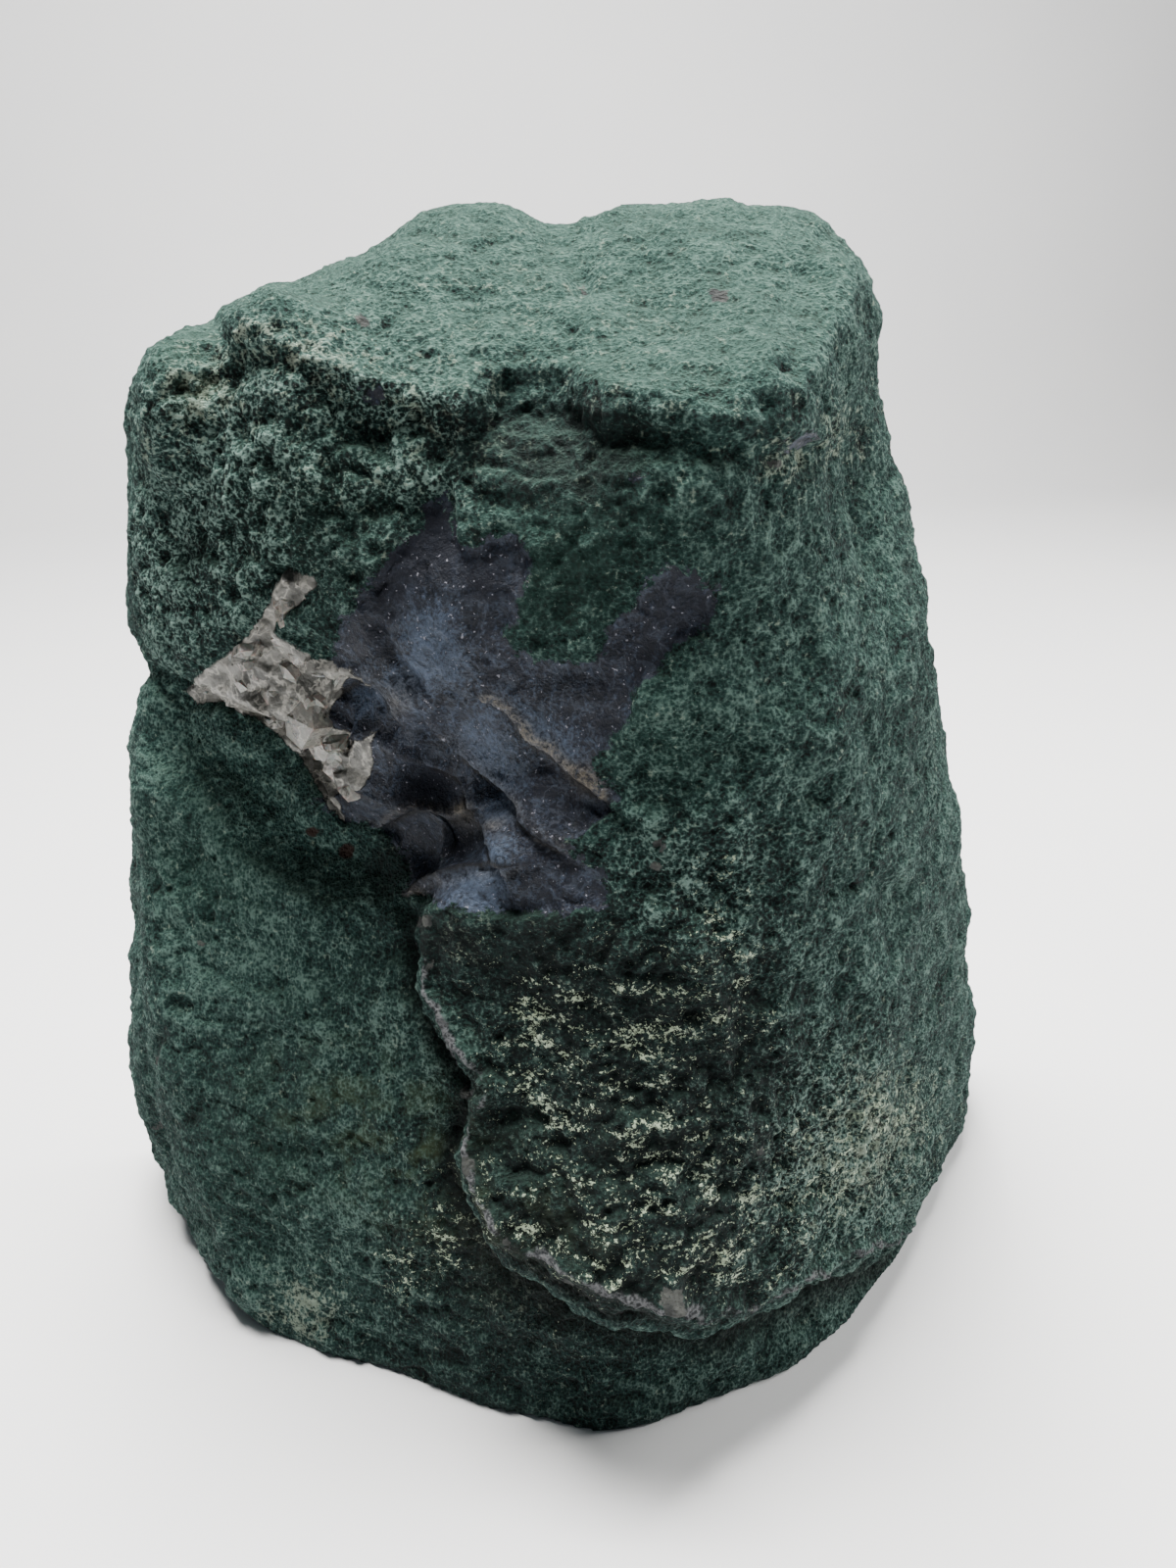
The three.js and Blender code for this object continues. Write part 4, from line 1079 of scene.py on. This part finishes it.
def rind_material():
    """The rind, and the broken agate and quartz that show in it."""
    material, add, place = new_material("porous green rind over agate")
    marks = {label: add("Attribute", attribute_name=label, out="Fac") for label in weather}
    bays = add("TexNoise", place, 1 / 12, 3, 0.6)
    teeth = add("TexNoise", place, 1 / 2.2, 4, 0.8)
    ragged = weighed(add, -10.5, (bays, 12.0), (teeth, 9.0))
    gaps = add("TexNoise", place, 1 / 12, 4, 0.55)
    rim = weighed(add, -1.65, (marks["broken_edge"], 1), (gaps, 2.4), (teeth, 0.9))
    green, crumbs, patches = rind_layer(add, marks, place)
    green = coated(
        add, green,
        (rim, (0.7, 1.0), 1.0, coated(add, "#34373A", (crumbs, (0.42, 0.7), 1.0, "#7C7E80"))),
        (marks["edge_shade"], None, 0.8, "#060A09"),
        (weighed(add, marks["chip_mm"], (ragged, 0.45)), (0.4, 0.8), 1.0,
         coated(add, "#2E3133", (patches, (0.3, 0.7), 1.0, "#5F615D"))),
        (weighed(add, marks["brown_mm"], (ragged, 0.2)), (-0.2, 0.6), 1.0, "#2C1E19"))

    slate, agate_height = agate_layer(add, marks, place)
    pale, quartz_height = quartz_layer(add, place)
    agate = smooth_step(add, weighed(add, marks["agate_mm"], (ragged, 1)), *BORDER)
    quartz = smooth_step(add, weighed(add, marks["quartz_mm"], (ragged, 0.22)), *BORDER)
    colour = coated(add, green, (agate, None, 1.0, slate), (quartz, None, 1.0, pale))
    raised_agate = weighed(add, 0.35, (agate_height, 1))
    height = add("Mix", quartz, add("Mix", agate, crumbs, raised_agate), quartz_height)
    waxy = add("Mix", marks["navy_and_scoop_shade"], 0.45, 0.75)
    roughness = add("Mix", quartz, add("Mix", agate, 0.95, waxy), 0.3)
    normal = add("Bump", Height=height, Distance=3.0 * MM)
    surface = add("BsdfPrincipled", Base_Color=colour, Roughness=roughness, Normal=normal, IOR=1.5,
                  Specular_IOR_Level=0.22)
    add("OutputMaterial", Surface=surface)
    return material


RIND_STRIPS = 4

rind_normals = corner_normals(points, quads)
left_to_right = np.argsort(points[quads[:, 0], 0])
rind = rind_material()
for number, strip in enumerate(np.array_split(left_to_right, RIND_STRIPS), 1):
    rock_piece(f"rind_{number}", points, quads[strip], rind_normals, weather, rind)
print("nodes in the rind's material:", len(rind.node_tree.nodes))

# %% [markdown]
# The sawn face is agate as a lapidary leaves it, flat and polished. Bands run parallel to the outside: the green
# rind, a brown line, slate and blue-grey agate in many thin bands with a few warm ones, then white quartz that
# goes violet next to the crystals. The bands follow two distances kept on the points, one to the outside and one
# to the hollow, so they turn every corner as real bands do.

# %% Sawn and polished agate
def sawn_agate_material():
    """Banded agate, from the rind inward to the white quartz of the hollow."""
    material, add, place = new_material("sawn and polished agate")
    wander = weighed(add, -2.5, (add("TexNoise", place, 1 / 16, 4, 0.55), 5.0))
    depth = weighed(add, wander, (add("Attribute", attribute_name="depth_mm", out="Fac"), 1))
    to_hollow = weighed(add, add("Attribute", attribute_name="wall_mm", out="Fac"), (wander, 0.6))
    across = add("CombineXYZ", X=depth)
    broad = add("TexNoise", across, 1 / 5, 2, 0.55)
    thin = add("TexNoise", across, 1 / 1.3, 4, 0.7)
    warm = add("TexNoise", across, 1 / 3.1, 2, 0.55)
    clouds = add("TexNoise", place, 1 / 30, 2, 0.55)
    bands = weighed(add, 0.0, (broad, 0.8), (thin, 0.6), (clouds, 0.3))
    milk = add("Mix", add("TexNoise", place, 1 / 2.4, 5, 0.7), "#8F8B96", "#D6D4D8", data_type="RGBA")
    rind = add("Mix", add("TexNoise", place, 1 / 1.5, 4, 0.55), "#1D2E27", "#4C6B5C", data_type="RGBA")
    colour = coated(
        add, "#1A1F2A",
        (bands, (0.62, 0.9), 1.0, "#566278"),
        (bands, (0.9, 1.02), 1.0, "#A4ACB8"),
        (warm, (0.58, 0.66), 0.4, "#6F6258"),
        (to_hollow, (8.0, 6.0), 1.0, milk),
        (to_hollow, (4.5, 0.5), 1.0, "#7B5FA6"),
        (depth, (4.4, 3.2), 1.0, "#5B4636"),
        (depth, (3.2, 2.4), 1.0, rind))
    roughness = add("Mix", smooth_step(add, depth, 2.6, 3.6), 0.55, 0.12)
    normal = add("Bump", Height=add("TexNoise", place, 1 / 5, 3, 0.55), Distance=0.03 * MM)
    surface = add("BsdfPrincipled", Base_Color=colour, Roughness=roughness, Normal=normal, IOR=1.54,
                  Coat_Weight=0.25, Coat_Roughness=0.04)
    add("OutputMaterial", Surface=surface)
    return material


sawn_normals = corner_normals(sawn_points, sawn_quads)
rock_piece("sawn_face", sawn_points, sawn_quads, sawn_normals, layers, sawn_agate_material())

# %% [markdown]
# Quartz and amethyst grow as six-sided prisms with a pyramid on top. One function gives the corners and faces of
# such a crystal, rooted in the rock, and another joins a crowd of them in one mesh. Its faces stay flat, so that
# each facet catches the light by itself. Copies of one crystal would be lighter, but all would be the same shape.

# %% One crystal and a crowd of them
def crystal(foot, axis, radius, height, tip, root, spin):
    """Corners and faces of a six-sided crystal with a pyramid on top, in millimetres."""
    turn = Vector(axis).to_track_quat("Z", "Y")
    corners = []
    for ring_radius, z in [(radius * 0.9, -root), (radius, height)]:
        for side in range(6):
            angle = spin + side * math.pi / 3
            corners.append((ring_radius * math.cos(angle), ring_radius * math.sin(angle), z))
    corners.append((0.0, 0.0, height + tip))
    placed = [np.array(turn @ Vector(corner)) + foot for corner in corners]
    faces = [tuple(range(5, -1, -1))]
    for side in range(6):
        other = (side + 1) % 6
        faces.append((side, other, other + 6, side + 6))
        faces.append((side + 6, other + 6, 12))
    return placed, faces


def crystal_piece(name, crystals, material):
    """One flat-faced mesh of many crystals."""
    corners, faces = [], []
    for placed, sides in crystals:
        first = len(corners)
        corners += [tuple(in_part_frame(corner)) for corner in placed]
        faces += [tuple(first + n for n in side) for side in sides]
    mesh = bpy.data.meshes.new(name)
    mesh.from_pydata(corners, [], faces)
    mesh.materials.append(material)
    print(name, "crystals:", len(crystals))
    return in_scene(name, mesh)


# %% [markdown]
# The quartz of the broken edge is a crowd of stout crystals, snapped and cloudy, a few millimetres to a centimetre
# wide. Their prisms are sunk in the rock, so little more than the low pyramids shows, each at a place and lean of
# its own. Cloudy quartz is full of tiny bubbles and cracks: light goes in a little way and comes back white.

# %% Quartz crystals of the broken edge
QUARTZ_SIZES = ((34, (5.0, 8.5)), (19, (2.0, 4.0)))  # pixels between crystals, and their radii in millimetres
QUARTZ_ROWS, QUARTZ_COLUMNS = (575, 850), (185, 395)
SUNK = -0.35  # height of the prism and of its pyramid, in radii
PYRAMID = 0.35


def surface_at(spot_u, spot_v):
    """The rock's nearest point and normal at a pixel of the view."""
    miss = np.where(in_view > SEEN, (u - spot_u) ** 2 + (v - spot_v) ** 2, np.inf)
    nearest = np.argmin(miss)
    return points[nearest], normals[nearest]


def quartz_crystals():
    """Crystals on a jittered lattice of pixels inside the quartz outline, a few large and many small."""
    made = []
    for step, (smallest, largest) in QUARTZ_SIZES:
        for row in range(*QUARTZ_ROWS, step):
            for column in range(*QUARTZ_COLUMNS, step):
                index = len(made)
                spot_u = column + step * (chance(index, 31) - 0.5)
                spot_v = row + step * (chance(index, 32) - 0.5)
                outside = outline_distance(np.array(spot_u), np.array(spot_v), QUARTZ_EDGE) > -step / 3.4
                to_pocket = min(math.hypot(spot_u - cu, spot_v - cv) for cu, cv, _ in BLUE_POCKET)
                if outside or to_pocket < step:
                    continue
                foot, normal = surface_at(spot_u, spot_v)
                lean = np.array([chance(index, seed) - 0.5 for seed in (33, 34, 35)]) * 1.6
                radius = smallest + (largest - smallest) * chance(index, 36)
                made.append(crystal(foot, normal + lean, radius, SUNK * radius, PYRAMID * radius, radius,
                                    chance(index, 37)))
    return made


def quartz_material():
    """Milky quartz with a little light going through."""
    material, add, place = new_material("cloudy quartz")
    clouds = add("TexNoise", place, 1 / 4, 5, 0.7)
    veins = off_veins(add, place, 4)
    colour = coated(add, "#55544F", (clouds, (0.3, 0.7), 1.0, "#97958E"), (veins, VEIN, 0.6, "#C4C1B9"))
    normal = add("Bump", Height=add("TexNoise", place, 1 / 2.2, 4, 0.55), Distance=0.35 * MM)
    surface = add("BsdfPrincipled", Base_Color=colour, Roughness=add("Mix", clouds, 0.12, 0.5), Normal=normal,
                  IOR=1.544, Transmission_Weight=0.35, Subsurface_Weight=0.3, Subsurface_Scale=0.003)
    add("OutputMaterial", Surface=surface)
    return material


quartz = crystal_piece("quartz_crystals", quartz_crystals(), quartz_material())
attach(quartz, "root")

# %% [markdown]
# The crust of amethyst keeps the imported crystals, whose faces are already flat and true. Amethyst is clear quartz
# coloured by traces of iron: the light goes in, loses its green and comes out violet, deeper where the crystal is
# thick. So the material is plain transmission with quartz's index, and the colour comes from absorption inside.

# %% Amethyst
def amethyst_material():
    """Clear quartz with violet depth and thin veils."""
    material, add, place = new_material("amethyst")
    veils = add("TexNoise", place, 1 / 7, 4, 0.6)
    roughness = add("Mix", smooth_step(add, veils, 0.4, 0.7), 0.02, 0.14)
    normal = add("Bump", Height=add("TexNoise", place, 1 / 3, 3, 0.55), Distance=0.05 * MM)
    colour = coated(add, "#DCC6F2", (veils, (0.35, 0.7), 1.0, "#A67FD6"))
    surface = add("BsdfPrincipled", Base_Color=colour, Roughness=roughness, Normal=normal, IOR=1.544,
                  Transmission_Weight=1.0)
    volume = add("VolumeAbsorption", Color="#C65FDC", Density=75.0)
    add("OutputMaterial", Surface=surface, Volume=volume)
    return material


amethyst = amethyst_material()
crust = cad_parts["amethyst_crust"]
crust.data.materials.clear()
crust.data.materials.append(amethyst)
print("packed crust, faces:", len(crust.data.polygons))

# %% [markdown]
# In a real hollow small points fill the valleys between the large crystals. They stand at even steps of a spiral
# seen from the hollow's middle, each where its ray meets the wall, and lean a little. Scattering by particles
# would do the same, but could not keep away from the sawn face as simply.

# %% Small points of amethyst
SMALL_POINTS = 420
MOUTH_MARGIN = 9.0  # millimetres behind the sawn face without small points


def small_points():
    """Small crystals spread over the wall of the hollow, between the large ones."""
    made = []
    for index in range(SMALL_POINTS):
        inward = -(index + 0.5) / SMALL_POINTS
        turn = GOLDEN_ANGLE * index + 0.7
        across = math.sqrt(1 - inward * inward)
        ray = np.array([math.cos(turn) * across, inward, math.sin(turn) * across])
        along = HOLLOW_CENTRE + np.arange(20, 130, 0.5)[:, None] * ray
        depth = hollow_field(along, rock_field(along))
        foot = along[np.argmax(depth > -7.0 - 5.0 * chance(index, 41))]
        if foot[1] > CUT_FACE - MOUTH_MARGIN:
            continue
        lean = np.array([chance(index, seed) - 0.5 for seed in (42, 43, 44)]) * 0.9
        radius = 2.2 + 3.0 * chance(index, 45)
        made.append(crystal(foot, lean - ray, radius, radius * 0.6, radius * 1.4, 4.0, chance(index, 46)))
    return made


small_amethyst = crystal_piece("small_amethyst_points", small_points(), amethyst)
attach(small_amethyst, "root")

# %% [markdown]
# The rock stands on plain pale card that curves up behind it, as on a small product table. A floor and a wall would
# do, but a line would show where they meet. Card is matt paper with a faint tooth and clouds of tone.

# %% Pale card
CARD_WIDTH = 6.0
CARD_PROFILE_STEPS = 12


def backdrop(front=-1.6, bend_start=1.1, bend_radius=0.3, height=2.0):
    """A floor that turns up into a wall along a quarter circle."""
    profile = [(front, 0.0)]
    for step in range(CARD_PROFILE_STEPS + 1):
        angle = math.radians(90 * step / CARD_PROFILE_STEPS)
        profile.append((bend_start + bend_radius * math.sin(angle), bend_radius * (1 - math.cos(angle))))
    profile.append((bend_start + bend_radius, height))
    corners = [(x, y, z) for y, z in profile for x in (-CARD_WIDTH / 2, CARD_WIDTH / 2)]
    faces = [(2 * n, 2 * n + 1, 2 * n + 3, 2 * n + 2) for n in range(len(profile) - 1)]
    mesh = bpy.data.meshes.new("pale_card")
    mesh.from_pydata(corners, [], faces)
    mesh.polygons.foreach_set("use_smooth", np.ones(len(faces), bool))
    material, add, place = new_material("pale card")
    colour = add("Mix", add("TexNoise", place, 1 / 180, 2, 0.55), "#E4E5E7", "#ECECEC", data_type="RGBA")
    normal = add("Bump", Height=add("TexNoise", place, 1 / 1.2, 2, 0.55), Distance=0.02 * MM)
    surface = add("BsdfPrincipled", Base_Color=colour, Roughness=0.6, Normal=normal, IOR=1.45)
    add("OutputMaterial", Surface=surface)
    mesh.materials.append(material)
    return in_scene("pale_card", mesh)


backdrop()
print("card width in metres:", CARD_WIDTH)

# %% [markdown]
# One soft light hangs above and a little behind, so the top is the lightest face and the front falls into a soft
# shade. A weaker one stands at the right, and a pale blue world fills the shadows, as an overcast sky does.

# %% Lights
def soft_light(name, place, size, watts):
    """A square area light that looks at the middle of the rock."""
    data = bpy.data.lights.new(name, "AREA")
    data.size = size
    data.energy = watts
    data.color = srgb("#FFFDFA")[:3]
    light = in_scene(name, data)
    light.location = place
    light.rotation_euler = (Vector((0, 0, 0.15)) - light.location).to_track_quat("-Z", "Y").to_euler()


soft_light("overhead", (-0.12, 0.16, 1.3), 0.6, 76.0)
soft_light("right_side", (1.1, 0.05, 0.6), 0.5, 19.0)
world = bpy.data.worlds.new("bright_room")
world.use_nodes = True
background = world.node_tree.nodes["Background"]
background.inputs["Color"].default_value = srgb("#DEECF6")
background.inputs["Strength"].default_value = 0.098
bpy.context.scene.world = world
print("lights:", [light.name for light in bpy.data.lights])

# %% [markdown]
# The camera is the view that everything was measured in, so the marks fall where they were seen. Its lens follows
# from the focal length in pixels and the height of the picture.

# %% Camera
IMAGE_HEIGHT_PIXELS = 1600
SENSOR = 36.0
camera_data = bpy.data.cameras.new("camera")
camera_data.sensor_width = SENSOR
camera_data.lens = SENSOR * FOCAL_PIXELS / IMAGE_HEIGHT_PIXELS
camera_data.clip_start = 0.01
camera = in_scene("camera", camera_data)
eye = in_part_frame(EYE)
camera.matrix_world = Matrix([[RIGHT[n], UP[n], -LOOK[n], eye[n]] for n in range(3)] + [[0, 0, 0, 1]])
bpy.context.scene.camera = camera
print("camera at", eye.round(4), "lens", round(camera_data.lens, 2))
